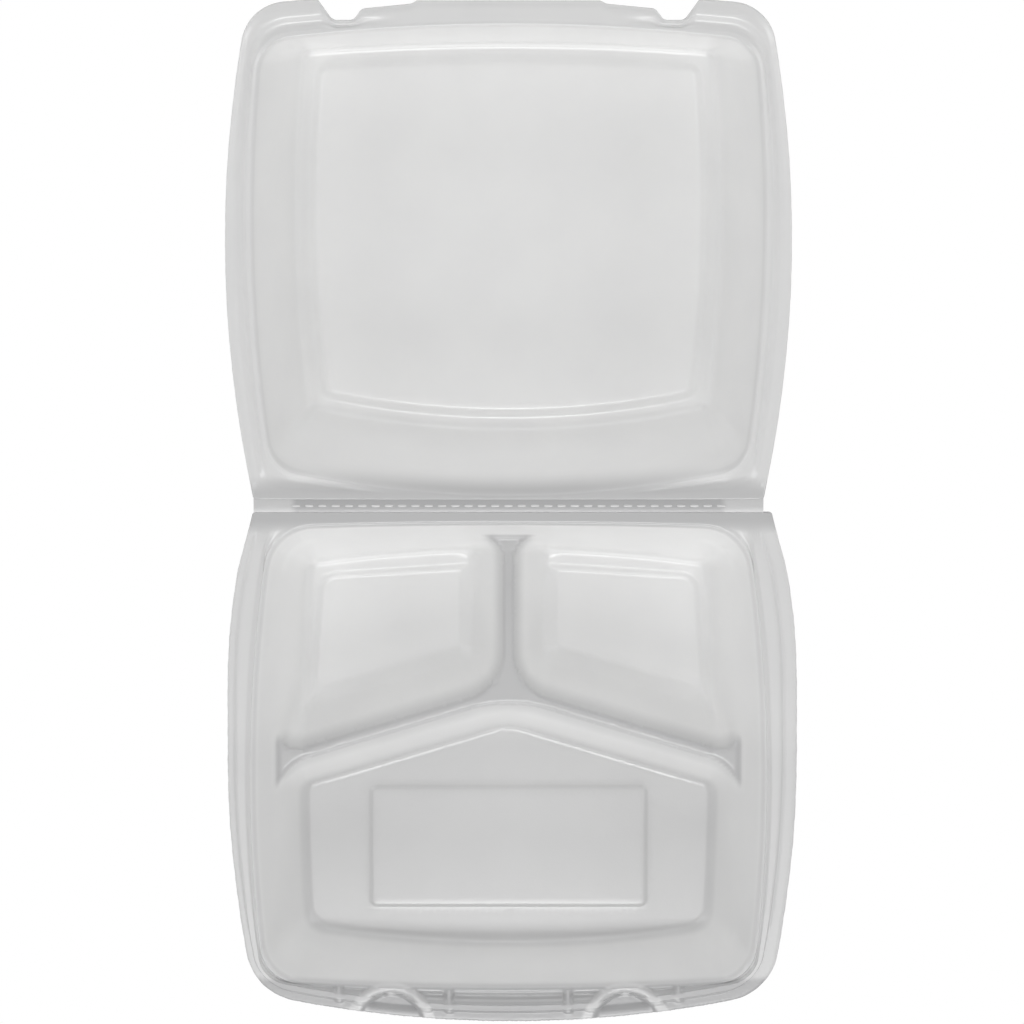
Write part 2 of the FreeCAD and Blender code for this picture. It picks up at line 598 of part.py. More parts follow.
def base_tray():
    tub_outer = rounded_floor("tray_tub", loft("tray_tub_sharp", [
        tray_level("tray_outer_floor", "dims.foot_step", True, False),
        tray_level("tray_outer_rim", FLANGE_UNDERSIDE, True, True)]), "dims.foot_step", "dims.tray_round")
    feet = set_down("feet", "0", True, "dims.foot_slope")
    shell = fuse("tray_block", [tub_outer, feet] + base_flange() + [front_arches()])
    cavity = rounded_floor("tray_cavity", loft("tray_cavity_sharp", [
        tray_level("tray_inner_floor", LEDGE, False, False),
        tray_level("tray_inner_rim", FLANGE_TOP, False, True)]), LEDGE, "dims.tray_round")
    floors = set_down("floors", "dims.foam_thickness", False, "dims.foot_slope")
    hollow = cut("tray_open", shell, fuse("tray_space", [cavity, floors]))
    ridge_foot = f"(dims.divider_crest / 2 + ({CREST} - dims.foam_thickness) * tan(dims.divider_draft))"
    ridges = divider_bars("ridges", CREST, "(dims.divider_crest / 2)", ridge_foot,
                          "dims.foam_thickness", "dims.crest_round")
    ridges_inside = common("ridges_inside", ridges, tub_outer)
    tunnel_crest = (f"(dims.divider_crest / 2 + dims.foam_thickness * tan(dims.divider_draft)"
                    f" - {skin('divider_draft')})")
    tunnel_foot = f"({tunnel_crest} + {CREST} * tan(dims.divider_draft))"
    tunnels = divider_bars("tunnels", f"({CREST} - dims.foam_thickness)", tunnel_crest, tunnel_foot,
                           "-dims.foam_thickness", None)
    divided = cut("tray_divided", fuse("tray_ridged", [hollow, ridges_inside]), tunnels)
    plate = extrude("plate", polygon("plate_plan", [
        ("-dims.plate_half_width", "dims.plate_heel", "dims.plate_corner"),
        ("dims.plate_half_width", "dims.plate_heel", "dims.plate_corner"),
        ("dims.plate_half_width", "dims.plate_front", "dims.plate_corner"),
        ("-dims.plate_half_width", "dims.plate_front", "dims.plate_corner")],
        "dims.foam_thickness"), "dims.plate_height")
    plated = fuse("tray_plated", [divided, plate])
    trimmed = cut("tray_trimmed", plated, fuse("tray_trims", [front_cuts(), stitches("base_stitch")]))
    return finish("base_tray", trimmed, True)


def lid_panel_plan(name, level, inset):
    """Plan of the set-in panel, drawn in from the bottom of the lid walls."""
    inner = wall_step("dims.foam_thickness", "lid_side_draft")
    return outline(
        name, level,
        f"dims.cavity_half_width - {inner} - {inset}",
        f"dims.lid_heel + {wall_step('dims.foam_thickness', 'lid_heel_draft')} + {inset}",
        f"dims.lid_cavity_front - {wall_step('dims.foam_thickness', 'lid_front_draft')} - {inset}",
        "dims.cavity_widest_at",
        f"dims.lid_floor_side_radius - {inset}", f"dims.lid_floor_heel_radius - {inset}",
        f"dims.lid_floor_front_radius - {inset}", "dims.panel_corner", "dims.panel_corner")


# Front edge of the lid: two notches and the flap between them
def lid_front_cut():
    beyond = "dims.lid_length + dims.bead_inset"
    low = f"({FLANGE_UNDERSIDE} - dims.foam_thickness)"
    edge = [
        ("dims.notch_outer + dims.notch_lean", beyond, None),
        ("dims.notch_outer", "dims.notch_depth_at", "dims.panel_step"),
        ("dims.notch_inner", "dims.notch_depth_at", "dims.panel_step"),
        ("dims.flap_end", "dims.flap_end_at", "dims.panel_step"),
        ("dims.flap_step", "dims.flap_length - dims.flap_step_height", None),
        ("dims.flap_step - dims.flap_step_run", "dims.flap_length", None)]
    mirror = [(f"-({x})", y, r) for x, y, r in reversed(edge)]
    plan = polygon("lid_front_plan", edge + mirror, low)
    return extrude("lid_front_cut", plan, f"{FLANGE_TOP} + dims.foam_thickness - {low}")


def lid():
    lip_plan = outline(
        "lid_lip_plan", f"{FLANGE_UNDERSIDE} - dims.bead_height",
        "dims.lid_half_width", "dims.hinge_gap / 2", "dims.lid_length", "dims.lid_widest_at",
        "dims.lid_side_radius", None, "dims.lid_front_radius", "dims.hinge_corner", "dims.lid_front_corner")
    land_plan = outline(
        "lid_land_plan", FLANGE_UNDERSIDE,
        "dims.cavity_half_width + dims.land_margin", "dims.hinge_gap / 2",
        "dims.lid_cavity_front + dims.land_margin", "dims.cavity_widest_at",
        "dims.cavity_side_radius + dims.land_margin", None,
        "dims.lid_cavity_front_radius + dims.land_margin", "dims.hinge_corner",
        "dims.lid_rim_corner + dims.land_margin")
    tub_outer = rounded_floor("lid_tub", loft("lid_tub_sharp", [
        lid_level("lid_outer_floor", "0", True, False),
        lid_level("lid_outer_rim", FLANGE_UNDERSIDE, True, True)]), "0", "dims.lid_round")
    cavity = rounded_floor("lid_cavity", loft("lid_cavity_sharp", [
        lid_level("lid_inner_floor", "dims.foam_thickness", False, False),
        lid_level("lid_inner_rim", FLANGE_TOP, False, True)]), "dims.foam_thickness", "dims.lid_round")
    block_shape = fuse("lid_block", [
        extrude("lid_lip", lip_plan, "dims.foam_thickness"),
        extrude("lid_land", land_plan, "dims.foam_thickness"), tub_outer])
    panel = extrude("lid_panel", lid_panel_plan("panel_plan", "dims.foam_thickness", "dims.band_width"),
                    "dims.panel_step")
    recess_inset = "(dims.band_width + dims.foam_thickness)"
    recess = extrude("lid_recess", lid_panel_plan("recess_plan", "0", recess_inset), "dims.panel_step")
    opened = fuse("lid_paneled", [cut("lid_open", block_shape, cavity), panel])
    trimmed = cut("lid_trimmed", opened, fuse("lid_trims", [recess, lid_front_cut(), stitches("lid_stitch")]))
    return finish("lid", trimmed, False)


PIECES = [base_tray(), lid()]
doc.recompute()

failed = [thing.Name for thing in doc.Objects if "Invalid" in thing.State or "Error" in thing.State]
if failed:
    raise RuntimeError(f"not built: {', '.join(failed)}")
for sketch in doc.findObjects("Sketcher::SketchObject"):
    if sketch.solve() != 0 or not sketch.FullyConstrained:
        raise RuntimeError(f"{sketch.Name} is not fully held")
for piece in PIECES:
    shape = piece.Shape
    if shape.isNull() or not shape.isValid() or len(shape.Solids) != 1:
        raise RuntimeError(f"{piece.Label} is not one valid solid")
    print(piece.Label, round(shape.Volume), len(shape.Faces), shape.BoundBox)
    shape.exportStep(f"parts/{piece.Label}.step")
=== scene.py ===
import json
import math

import bpy
import numpy as np
from mathutils import Matrix, Vector
from mathutils.geometry import delaunay_2d_cdt


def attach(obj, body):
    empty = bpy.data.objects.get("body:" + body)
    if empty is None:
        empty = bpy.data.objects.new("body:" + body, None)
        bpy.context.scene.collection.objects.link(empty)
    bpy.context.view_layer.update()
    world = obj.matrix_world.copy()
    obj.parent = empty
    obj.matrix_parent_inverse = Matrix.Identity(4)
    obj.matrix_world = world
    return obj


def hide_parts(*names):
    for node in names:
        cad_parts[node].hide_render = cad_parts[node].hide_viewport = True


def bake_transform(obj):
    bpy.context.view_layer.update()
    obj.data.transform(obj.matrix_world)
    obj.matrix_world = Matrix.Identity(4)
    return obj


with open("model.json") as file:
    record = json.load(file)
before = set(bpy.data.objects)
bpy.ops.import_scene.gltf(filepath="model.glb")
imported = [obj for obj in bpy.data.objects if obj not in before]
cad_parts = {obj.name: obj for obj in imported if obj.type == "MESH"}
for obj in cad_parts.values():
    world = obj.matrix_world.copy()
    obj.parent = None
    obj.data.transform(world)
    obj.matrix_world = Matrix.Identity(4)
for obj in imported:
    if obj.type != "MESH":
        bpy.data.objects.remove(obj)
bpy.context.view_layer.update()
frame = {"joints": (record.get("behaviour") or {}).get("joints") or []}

MM = 0.001
HINGE = [1000 * value for value in frame["joints"][0]["pos_m"]]

# Sizes in millimetres and degrees. Every plan has y counted from the hinge line
# towards the front of its own half, and z counted from the table.
FOAM = 2.2
FACE_GAP = 0.3
FLANGE_TOP = HINGE[2] - FACE_GAP / 2
FLANGE_UNDERSIDE = FLANGE_TOP - FOAM
FOOT_STEP = 2.0
LEDGE = FOOT_STEP + FOAM
STRIP_HALF = 2.3

BASE_EDGE = dict(half=106.4, front=197.0, widest=95.0, side_r=430.0, front_r=425.0,
                 front_corner=22.0, heel_corner=1.5)
BASE_SHIFT = 1.4
BEAD_INSET = 3.7
BEAD_FRONT_WIDTH = 3.2
BEAD_HEIGHT = 0.8
BEAD_START = 8.0
GROOVE_DEPTH = 0.6
FRONT_GROOVE_DEPTH = 1.3
GROOVE_SLOPE = 0.26
EDGE_WEAR = 0.3
EDGE_ROUND = 0.6
SMALL_ROUND = 0.5
SHOULDER = 0.016

CAVITY_HALF = 95.0
CAVITY_WIDEST = 105.0
CAVITY_SIDE_R = 600.0
LAND_MARGIN = 1.3
BEAD_GAP = 0.7
LEAST_ROOM = BEAD_GAP + 0.2

TRAY_RIM = dict(half=CAVITY_HALF, heel=7.1, front=183.4, widest=CAVITY_WIDEST, side_r=CAVITY_SIDE_R,
                heel_r=2500.0, front_r=1280.0, heel_corner=18.0, front_corner=15.0)
TRAY_FLOOR = dict(side_r=1200.0, heel_r=511.0, front_r=433.0, heel_corner=4.0, front_corner=8.0)
TRAY_DRAFTS = dict(side=25.4, heel=22.8, front=12.0)
TRAY_FILLET = 2.4
RIM_ROUND = 3.2

LID_RIM = dict(half=CAVITY_HALF, heel=4.4, front=179.4, widest=CAVITY_WIDEST, side_r=CAVITY_SIDE_R,
               heel_r=395.0, front_r=700.0, heel_corner=14.0, front_corner=14.0)
LID_FLOOR = dict(side_r=611.0, heel_r=335.0, front_r=931.0, heel_corner=3.5, front_corner=3.5)
LID_DRAFTS = dict(side=22.3, heel=24.3, front=16.3)
LID_FILLET = 2.4
LID_EDGE = dict(half=104.7, front=191.0, widest=97.0, side_r=450.0, front_r=1100.0,
                front_corner=17.0, heel_corner=1.5)
BAND_WIDTH = 6.2
PANEL_STEP = 1.8
PANEL_SLOPE = 1.1
PANEL_CORNER = 4.0
LIP_DROP = BEAD_HEIGHT
LIP_GROOVE = 1.0
LIP_ROLL = 0.45

CREST = FLANGE_TOP - 17.0
CREST_HALF = 1.9
CREST_ROUND = 1.4
HOLLOW = 0.6
RIDGE_DRAFT = math.radians(35.0)
RIDGE_TURN = math.radians(17.0)
JUNCTION = 74.0
SMALL_POCKET = dict(radius=0.0, flare=0.5)
LARGE_POCKET = dict(radius=2.0, flare=0.25)
POCKET_END = dict(radius=0.0, flare=0.42)

TAB_OFFSET = 44.3
TAB_RADIUS = 13.4
TAB_TOP = 185.7
TAB_DROP = 0.9
ARCH_WIDTH = 3.6
RIBS = (22.3, 63.7)
RIB_HALF = 1.0
DETAIL_END = (192.6, 194.4)


def smooth(low, high, value):
    """0 before low, 1 after high, and a soft step between them."""
    t = np.clip((value - low) / (high - low), 0, 1)
    return t * t * (3 - 2 * t)


def soft_max(a, b, reach):
    """The higher of two surfaces, blended where they lie within reach of each other."""
    near = np.maximum(reach - np.abs(a - b), 0) / reach
    return np.maximum(a, b) + near * near * reach / 4


def round_join(a, b, radius):
    """Signed distance to the meet of two half-planes with a rounded corner."""
    outside = np.hypot(np.maximum(a + radius, 0), np.maximum(b + radius, 0))
    return np.minimum(np.maximum(a, b), -radius) + outside


# Outlines: bulged rectangles of arcs, sampled alike so that they can be joined ring to ring
HEEL_POINTS = 55
CORNER_POINTS = 9
SIDE_POINTS = 105
TOE_POINTS = 14
FRONT_POINTS = 150
STRAIGHT = 40000.0
SMALLEST_RADIUS = 0.4


def crossings(a, radius_a, b, radius_b):
    """The two points where a circle about a meets a circle about b."""
    dx, dy = b[0] - a[0], b[1] - a[1]
    gap = math.hypot(dx, dy)
    along = (radius_a ** 2 - radius_b ** 2 + gap ** 2) / (2 * gap)
    across = math.sqrt(radius_a ** 2 - along ** 2)
    return [(a[0] + (along * dx - turn * across * dy) / gap, a[1] + (along * dy + turn * across * dx) / gap)
            for turn in (1, -1)]


def arc_points(centre, radius, start, end, count):
    angles = np.linspace(start, end, count, endpoint=False)
    return np.stack([centre[0] + radius * np.cos(angles), centre[1] + radius * np.sin(angles)], 1)


def outline(half, heel, front, widest, side_r, front_r, heel_corner, front_corner,
            heel_r=STRAIGHT, shift=0.0):
    """Points round a bulged rectangle, counter-clockwise from the middle of its hinge side."""
    side = (half - side_r, widest)
    nose = (0.0, front - front_r)
    back = (0.0, heel + heel_r)
    toe_spots = crossings(side, side_r - front_corner, nose, front_r - front_corner)
    heel_spots = crossings(side, side_r - heel_corner, back, heel_r - heel_corner)
    toe = max(toe_spots, key=lambda spot: spot[1])
    heel_turn = min(heel_spots, key=lambda spot: spot[1])
    low = math.atan2(heel_turn[1] - back[1], heel_turn[0] - back[0])
    first = math.atan2(heel_turn[1] - side[1], heel_turn[0] - side[0])
    last = math.atan2(toe[1] - side[1], toe[0] - side[0])
    high = math.atan2(toe[1] - nose[1], toe[0] - nose[0])
    right = np.concatenate([
        arc_points(back, heel_r, -math.pi / 2, low, HEEL_POINTS),
        arc_points(heel_turn, heel_corner, low, first, CORNER_POINTS),
        arc_points(side, side_r, first, last, SIDE_POINTS),
        arc_points(toe, front_corner, last, high, TOE_POINTS),
        arc_points(nose, front_r, high, math.pi / 2, FRONT_POINTS),
        [(0.0, front)]])
    left = right[-2:0:-1] * (-1, 1)
    return np.concatenate([right, left]) + (shift, 0)


def at(points, z):
    """Lift a plan to a level, or each of its points to a level of its own."""
    return np.column_stack([points, np.full(len(points), z, float)])


def grown(spec, amount, **changes):
    """An outline's sizes, moved outwards by an amount."""
    spec = dict(spec, **changes)
    names = ("side_r", "front_r", "front_corner", "heel_corner")
    radii = {name: max(spec[name] + amount, SMALLEST_RADIUS) for name in names}
    if "heel_r" in spec:
        radii["heel_r"] = spec["heel_r"] + amount
    return dict(spec, half=spec["half"] + amount, heel=spec["heel"] - amount,
                front=spec["front"] + amount, **radii)


def sunk(rim, floor, drafts, level, foam):
    """An outline's sizes at the bottom of sloping walls, on the inside or the outside of the foam."""
    drop = FLANGE_TOP - level
    moves = {side: drop * math.tan(math.radians(draft)) - foam / math.cos(math.radians(draft))
             for side, draft in drafts.items()}
    radii = {name: radius + foam for name, radius in floor.items()}
    return dict(rim, half=rim["half"] - moves["side"], heel=rim["heel"] + moves["heel"],
                front=rim["front"] - moves["front"], **radii)


def under_rim(rim, floor, drafts):
    """An outline's sizes on the outside of the foam, just under the flange."""
    return sunk(rim, {name: rim[name] for name in floor}, drafts, FLANGE_UNDERSIDE, FOAM)


def bend(a, b, c, count):
    """Rings of a rounded turn from ring a to ring c, with its corner at ring b."""
    return [(1 - t) ** 2 * a + 2 * t * (1 - t) * b + t * t * c for t in np.linspace(0, 1, count)]


def between(a, b, count):
    """Rings strictly between two rings."""
    return [a + (b - a) * t for t in np.linspace(0, 1, count + 2)[1:-1]]


def corner_join(a, slope_a, b, slope_b, radius, flare):
    """Height of two sloping walls whose corner is rounded in plan, more so the higher it is."""
    reach_a, reach_b = a * slope_a + radius, b * slope_b + radius
    run_a, run_b = slope_a - flare, slope_b - flare
    square = run_a ** 2 + run_b ** 2 - flare ** 2
    mixed = reach_a * run_a + reach_b * run_b + radius * flare
    rest = reach_a ** 2 + reach_b ** 2 - radius ** 2
    root = mixed ** 2 - square * rest
    below = mixed + np.sqrt(np.maximum(root, 0))
    height = rest / np.where(np.abs(below) < 1e-6, 1e-6, below)
    corner = (root > 0) & (below > 0) & (radius + flare * height > 0)
    corner &= (reach_a > height * run_a) & (reach_b > height * run_b)
    return np.where(corner, np.maximum(height, np.maximum(a, b)), np.maximum(a, b))


def plan_distance(spec, x, y):
    """Signed distance from an outline, positive outside it."""
    side = np.hypot(np.abs(x) - spec["half"] + spec["side_r"], y - spec["widest"]) - spec["side_r"]
    front = np.hypot(x, y - spec["front"] + spec["front_r"]) - spec["front_r"]
    heel = np.hypot(x, y - spec["heel"] - spec["heel_r"]) - spec["heel_r"]
    toe = round_join(side, front, spec["front_corner"])
    heel_turn = round_join(side, heel, spec["heel_corner"])
    return np.maximum(toe, heel_turn)


# Dividers: what is left between three pockets with rounded corners
RIDGE_SLOPE = math.tan(RIDGE_DRAFT)
WALL_SLOPE = 0.45
LEAN = math.tan(RIDGE_TURN)


def divider_lines(x, y):
    """Distances to the middle divider and, counted towards the hinge, to the slanted ones."""
    return np.abs(x), (JUNCTION + LEAN * np.abs(x) - y) * math.cos(RIDGE_TURN)


def nearest_divider(x, y):
    middle, slanted = divider_lines(x, y)
    return np.where(slanted > 0, np.minimum(middle, slanted), -slanted)


def pocket_corner(a, slope_a, b, slope_b, corner, growth):
    return corner_join(a, slope_a, b, slope_b, corner["radius"] + growth, corner["flare"])


def hollowed(height, foot, crest, share):
    """A straight slope made hollow, shallow at its foot and steepest at the crest."""
    rise = np.maximum((height - foot) / (crest - foot), 0)
    hollow = foot + (crest - foot) * rise ** (1 + HOLLOW)
    return np.where(rise > 0, height + share * (hollow - height), height)


def divider_height(x, y, wall, crest, half, growth):
    """Height of the dividers, where wall is the height of the outer wall's slope at each place."""
    apex = crest + half / RIDGE_SLOPE
    middle, slanted = divider_lines(x, y)
    mirrored = (y - JUNCTION + LEAN * np.abs(x)) * math.cos(RIDGE_TURN)
    beside_middle = apex - middle / RIDGE_SLOPE
    small_side = apex - slanted / RIDGE_SLOPE
    large_side = apex + slanted / RIDGE_SLOPE
    other_side = apex - mirrored / RIDGE_SLOPE
    small = pocket_corner(beside_middle, RIDGE_SLOPE, small_side, RIDGE_SLOPE, SMALL_POCKET, growth)
    large = pocket_corner(large_side, RIDGE_SLOPE, other_side, RIDGE_SLOPE, LARGE_POCKET, growth)
    slopes = np.where(slanted > 0, small, large)
    joined = pocket_corner(slopes, RIDGE_SLOPE, wall, WALL_SLOPE, POCKET_END, growth)
    share = (slanted > 0) * smooth(0, 3, joined - wall)
    joined = np.maximum(hollowed(joined, crest - CREST + FOAM, crest, share), wall)
    return -soft_max(-joined, -np.full_like(joined, crest), CREST_ROUND)


# Set-down floors of the three compartments
TRAY_FOOT = sunk(TRAY_RIM, TRAY_FLOOR, TRAY_DRAFTS, LEDGE, 0)
TRAY_OUTER_FOOT = sunk(TRAY_RIM, TRAY_FLOOR, TRAY_DRAFTS, FOOT_STEP, FOAM)
RIDGE_FOOT = CREST_HALF + (CREST - FOAM) * math.tan(RIDGE_DRAFT)
RIDGE_ACROSS = RIDGE_FOOT / math.cos(RIDGE_TURN)
FLOOR_CORNER = 5.0
RIDGE_CORNER = 1.0
UNDER_SLOPE = 3.0
SMALL_FLOOR = [(RIDGE_FOOT - UNDER_SLOPE, 30.8), (70.0, 34.4),
               (73.6, JUNCTION - RIDGE_ACROSS + 73.6 * LEAN + UNDER_SLOPE),
               (RIDGE_FOOT - UNDER_SLOPE, JUNCTION - RIDGE_ACROSS + RIDGE_FOOT * LEAN + UNDER_SLOPE)]
LARGE_FLOOR = [(0.0, JUNCTION + RIDGE_ACROSS - UNDER_SLOPE),
               (71.5, JUNCTION + RIDGE_ACROSS + 71.5 * LEAN - UNDER_SLOPE), (69.8, 168.0), (0.0, 168.0)]
STEP_RUN = FOOT_STEP * math.tan(math.radians(40.0))
PLATE_HALF = (52.0, 23.05)
PLATE_MIDDLE = 137.85
PLATE_CORNER = 2.4
PLATE_HEIGHT = 0.4
PLATE_EDGE = 1.0
STEP_SLOPE = 0.9
STEP_FILLET = 0.8
STEP_ROUND = 0.25
POCKET_FILLET = 1.0
UNDER_FILLET = 0.8


def line_distance(x, y, start, end):
    """Signed distance from the line through two points, positive on its right."""
    run, rise = end[0] - start[0], end[1] - start[1]
    return ((x - start[0]) * rise - (y - start[1]) * run) / math.hypot(run, rise)


def small_floor_distance(x, y):
    ends = SMALL_FLOOR[1:] + SMALL_FLOOR[:1]
    sides = [line_distance(np.abs(x), y, a, b) for a, b in zip(SMALL_FLOOR, ends)]
    lower = round_join(sides[0], sides[1], FLOOR_CORNER)
    upper = round_join(sides[2], sides[3], RIDGE_CORNER)
    return round_join(lower, upper, RIDGE_CORNER)


def large_floor_distance(x, y):
    sides = [line_distance(np.abs(x), y, b, a) for a, b in zip(LARGE_FLOOR, LARGE_FLOOR[1:])]
    return round_join(round_join(sides[0], sides[1], RIDGE_CORNER), sides[2], FLOOR_CORNER)


def floor_distance(x, y):
    return np.minimum(small_floor_distance(x, y), large_floor_distance(x, y))


def plate_distance(x, y):
    return round_join(np.abs(x) - PLATE_HALF[0], np.abs(y - PLATE_MIDDLE) - PLATE_HALF[1], PLATE_CORNER)


def top_dividers(x, y, wall):
    return divider_height(x, y, wall, CREST, CREST_HALF, 0)


def under_dividers(x, y, wall):
    half = CREST_HALF + FOAM * RIDGE_SLOPE - FOAM / math.cos(RIDGE_DRAFT)
    return divider_height(x, y, wall, CREST - FOAM, half, FOAM)


def wall_slope_height(spec, level, x, y):
    """Height of the plain wall slope above or below its foot."""
    return level + plan_distance(spec, x, y) / WALL_SLOPE


def step_height(distance):
    """Rise of the step round a set-down floor: a wide fillet at its foot and a small one on top."""
    slope = (distance - STEP_RUN / 2) * STEP_SLOPE + FOOT_STEP / 2
    raised = soft_max(np.zeros_like(slope), slope, STEP_FILLET)
    return -soft_max(-raised, np.full_like(slope, -FOOT_STEP), STEP_ROUND)


def tray_floor_top(x, y):
    floor = FOAM + step_height(floor_distance(x, y))
    plate = PLATE_HEIGHT * smooth(-PLATE_EDGE, PLATE_EDGE, -plate_distance(x, y))
    dividers = top_dividers(x, y, wall_slope_height(TRAY_FOOT, LEDGE, x, y))
    return soft_max(floor + plate, dividers, POCKET_FILLET)


def tray_floor_underside(x, y):
    feet = FOOT_STEP * smooth(FOAM - 0.6, FOAM + STEP_RUN, floor_distance(x, y))
    dividers = under_dividers(x, y, wall_slope_height(TRAY_OUTER_FOOT, FOOT_STEP, x, y))
    return soft_max(feet, dividers, UNDER_FILLET)


# Meshing
ROW_STEP = 0.9
STEP_REACH = 2.3
DIVIDER_OFFSETS = (0, 0.7, 1.3, 1.9, 2.5, 3.2, 4.2, 6.0, 8.0, 10.5, 13.0, 15.0, 16.0, 17.0, 18.0, 19.2)
DIVIDER_REACH = 110
DIVIDER_STEP = 1.3
FIELD = ((-95, 5), (95, 190))
FINE_STEP = 0.85
MEDIUM_STEP = 1.35
COARSE_STEP = 2.8
PANEL_GRID = 3.2
TOP_CELL = 0.12
FIELD_CELL = 0.62
UNDER_CELL = 0.8
TOP_MARGIN = 0.7
UNDER_MARGIN = 0.9
LID_MARGIN = 1.2
SHARP_ANGLE = math.radians(38.0)
RELAX_PACE = 0.7


def thin_out(points, cell):
    """Keep one point in each cell, the first that comes."""
    keys = np.floor(points / cell).astype(np.int64)
    kept = np.unique(keys, axis=0, return_index=True)[1]
    return points[np.sort(kept)]


def grid_points(low, high, step):
    """A field of points in staggered rows."""
    xs = np.arange(low[0], high[0], step)
    ys = np.arange(low[1], high[1], step * math.sqrt(3) / 2)
    x, y = np.meshgrid(xs, ys)
    x[1::2] += step / 2
    return np.stack([x.ravel(), y.ravel()], 1)


def inside(points, ring, margin):
    """Which points lie within a convex ring, by at least a margin, tried at every third edge."""
    ends = np.roll(ring, -1, axis=0)
    runs = ends - ring
    lengths = np.linalg.norm(runs, axis=1)
    kept = np.ones(len(points), bool)
    for i in range(0, len(ring), 3):
        across = (points[:, 0] - ring[i, 0]) * runs[i, 1] - (points[:, 1] - ring[i, 1]) * runs[i, 0]
        kept &= across / lengths[i] < -margin
    return kept


def divider_rows():
    """Points in rows along the dividers, closest together where the surface turns."""
    offsets = sorted({sign * value for value in DIVIDER_OFFSETS for sign in (1, -1)})
    along = np.arange(0, DIVIDER_REACH, DIVIDER_STEP)
    slanted = (math.cos(RIDGE_TURN), math.sin(RIDGE_TURN))
    rows = []
    for ux, uy in ((0, -1), slanted, (-slanted[0], slanted[1])):
        for offset in offsets:
            row = np.stack([along * ux - offset * uy, JUNCTION + along * uy + offset * ux], 1)
            rows.append(row[np.abs(np.abs(nearest_divider(*row.T)) - abs(offset)) < 0.1])
    return np.concatenate(rows)


def edge_rows(start, corner, end, radius, growths):
    """Rows of points beside two edges that meet in a rounded corner, turning left."""
    start, corner, end = np.array(start), np.array(corner), np.array(end)
    first = (corner - start) / math.dist(corner, start)
    second = (end - corner) / math.dist(end, corner)
    out_a = np.array((first[1], -first[0]))
    out_b = np.array((second[1], -second[0]))
    centre = corner - (out_a + out_b) * radius / (1 + out_a @ out_b)
    low = math.atan2(out_a[1], out_a[0])
    high = math.atan2(out_b[1], out_b[0])
    rows = []
    for growth in growths:
        turn = arc_points(centre, radius + growth, low, high, max(4, int(radius + growth) + 3))
        chain = np.concatenate([[start + out_a * growth], turn, [centre + out_b * (radius + growth)],
                                [end + out_b * growth]])
        for a, b in zip(chain, chain[1:]):
            count = max(1, round(math.dist(a, b) / ROW_STEP))
            rows.append(a + (b - a) * np.arange(count)[:, None] / count)
    right = np.concatenate(rows)
    return np.concatenate([right, right * (-1, 1)])


def floor_edge_rows():
    """Points along the steps round the three floors and round the raised plate."""
    step = np.linspace(-STEP_REACH, STEP_RUN + 1.2, 13)
    plate = np.linspace(-PLATE_EDGE, PLATE_EDGE, 7)
    low, high = PLATE_MIDDLE - PLATE_HALF[1], PLATE_MIDDLE + PLATE_HALF[1]
    side = (PLATE_HALF[0], PLATE_MIDDLE)
    return np.concatenate([
        edge_rows(SMALL_FLOOR[0], SMALL_FLOOR[1], SMALL_FLOOR[2], FLOOR_CORNER, step),
        edge_rows(LARGE_FLOOR[1], LARGE_FLOOR[2], LARGE_FLOOR[3], FLOOR_CORNER, step),
        edge_rows((0, low), (PLATE_HALF[0], low), side, PLATE_CORNER, plate),
        edge_rows(side, (PLATE_HALF[0], high), (0, high), PLATE_CORNER, plate)])


def patch(ring, points):
    """Triangles that fill a ring over loose points, which are numbered after the ring's own."""
    count = len(ring)
    every = [Vector(p) for p in np.concatenate([ring, points])]
    edges = [(i, (i + 1) % count) for i in range(count)]
    # 0 asks for triangles over the whole hull, which is the ring itself as the rings are convex
    _, _, faces, sources, _, _ = delaunay_2d_cdt(every, edges, [], 0, 1e-7, True)
    return [tuple(sources[i][0] for i in face) for face in faces]


def shell(rings, top_points, under_points, top_height, under_height):
    """A closed foam shell: rings from the top floor over the edge to the underside, both floors filled."""
    levels, count, _ = rings.shape
    grid = np.arange(levels * count).reshape(levels, count)
    following = np.roll(grid, -1, axis=1)
    quads = np.stack([grid[:-1], grid[1:], following[1:], following[:-1]], 2).reshape(-1, 4)
    vertices = [rings.reshape(-1, 3)]
    faces = [tuple(quad) for quad in quads]
    total = levels * count
    floors = ((0, top_points, top_height, 1), (levels - 1, under_points, under_height, -1))
    for row, points, height, turn in floors:
        names = np.concatenate([grid[row], total + np.arange(len(points))])
        for face in patch(rings[row, :, :2], points):
            faces.append(tuple(names[i] for i in face[::turn]))
        vertices.append(at(points, height(*points.T)))
        total += len(points)
    return np.concatenate(vertices), faces


def mark_painted_shade(mesh, share):
    """Store at each vertex how much painted shade darkens the foam's colour."""
    mesh.attributes.new("painted_shade", "FLOAT", "POINT").data.foreach_set("value", share.astype(np.float32))


def plain_mesh(name, vertices, faces, painted_shade, material):
    mesh = bpy.data.meshes.new(name)
    mesh.from_pydata((vertices * MM).tolist(), [], [tuple(int(i) for i in face) for face in faces])
    # the share of painted shade at each vertex, which greys the foam colour
    mark_painted_shade(mesh, painted_shade)
    mesh.materials.append(material)
    mesh.shade_smooth()
    mesh.set_sharp_from_angle(angle=SHARP_ANGLE)
    piece = bpy.data.objects.new(name, mesh)
    bpy.context.scene.collection.objects.link(piece)
    return piece


def relax(rings, weight, rounds):
    """Soften rings where weight is above 0, moving each point towards its neighbours."""
    for _ in range(rounds):
        middle = (np.roll(rings, 1, axis=1) + np.roll(rings, -1, axis=1)) / 4
        middle[1:-1] += (rings[:-2] + rings[2:]) / 4
        middle[[0, -1]] = rings[[0, -1]]
        rings = rings + weight[..., None] * (middle - rings) * RELAX_PACE
    return rings


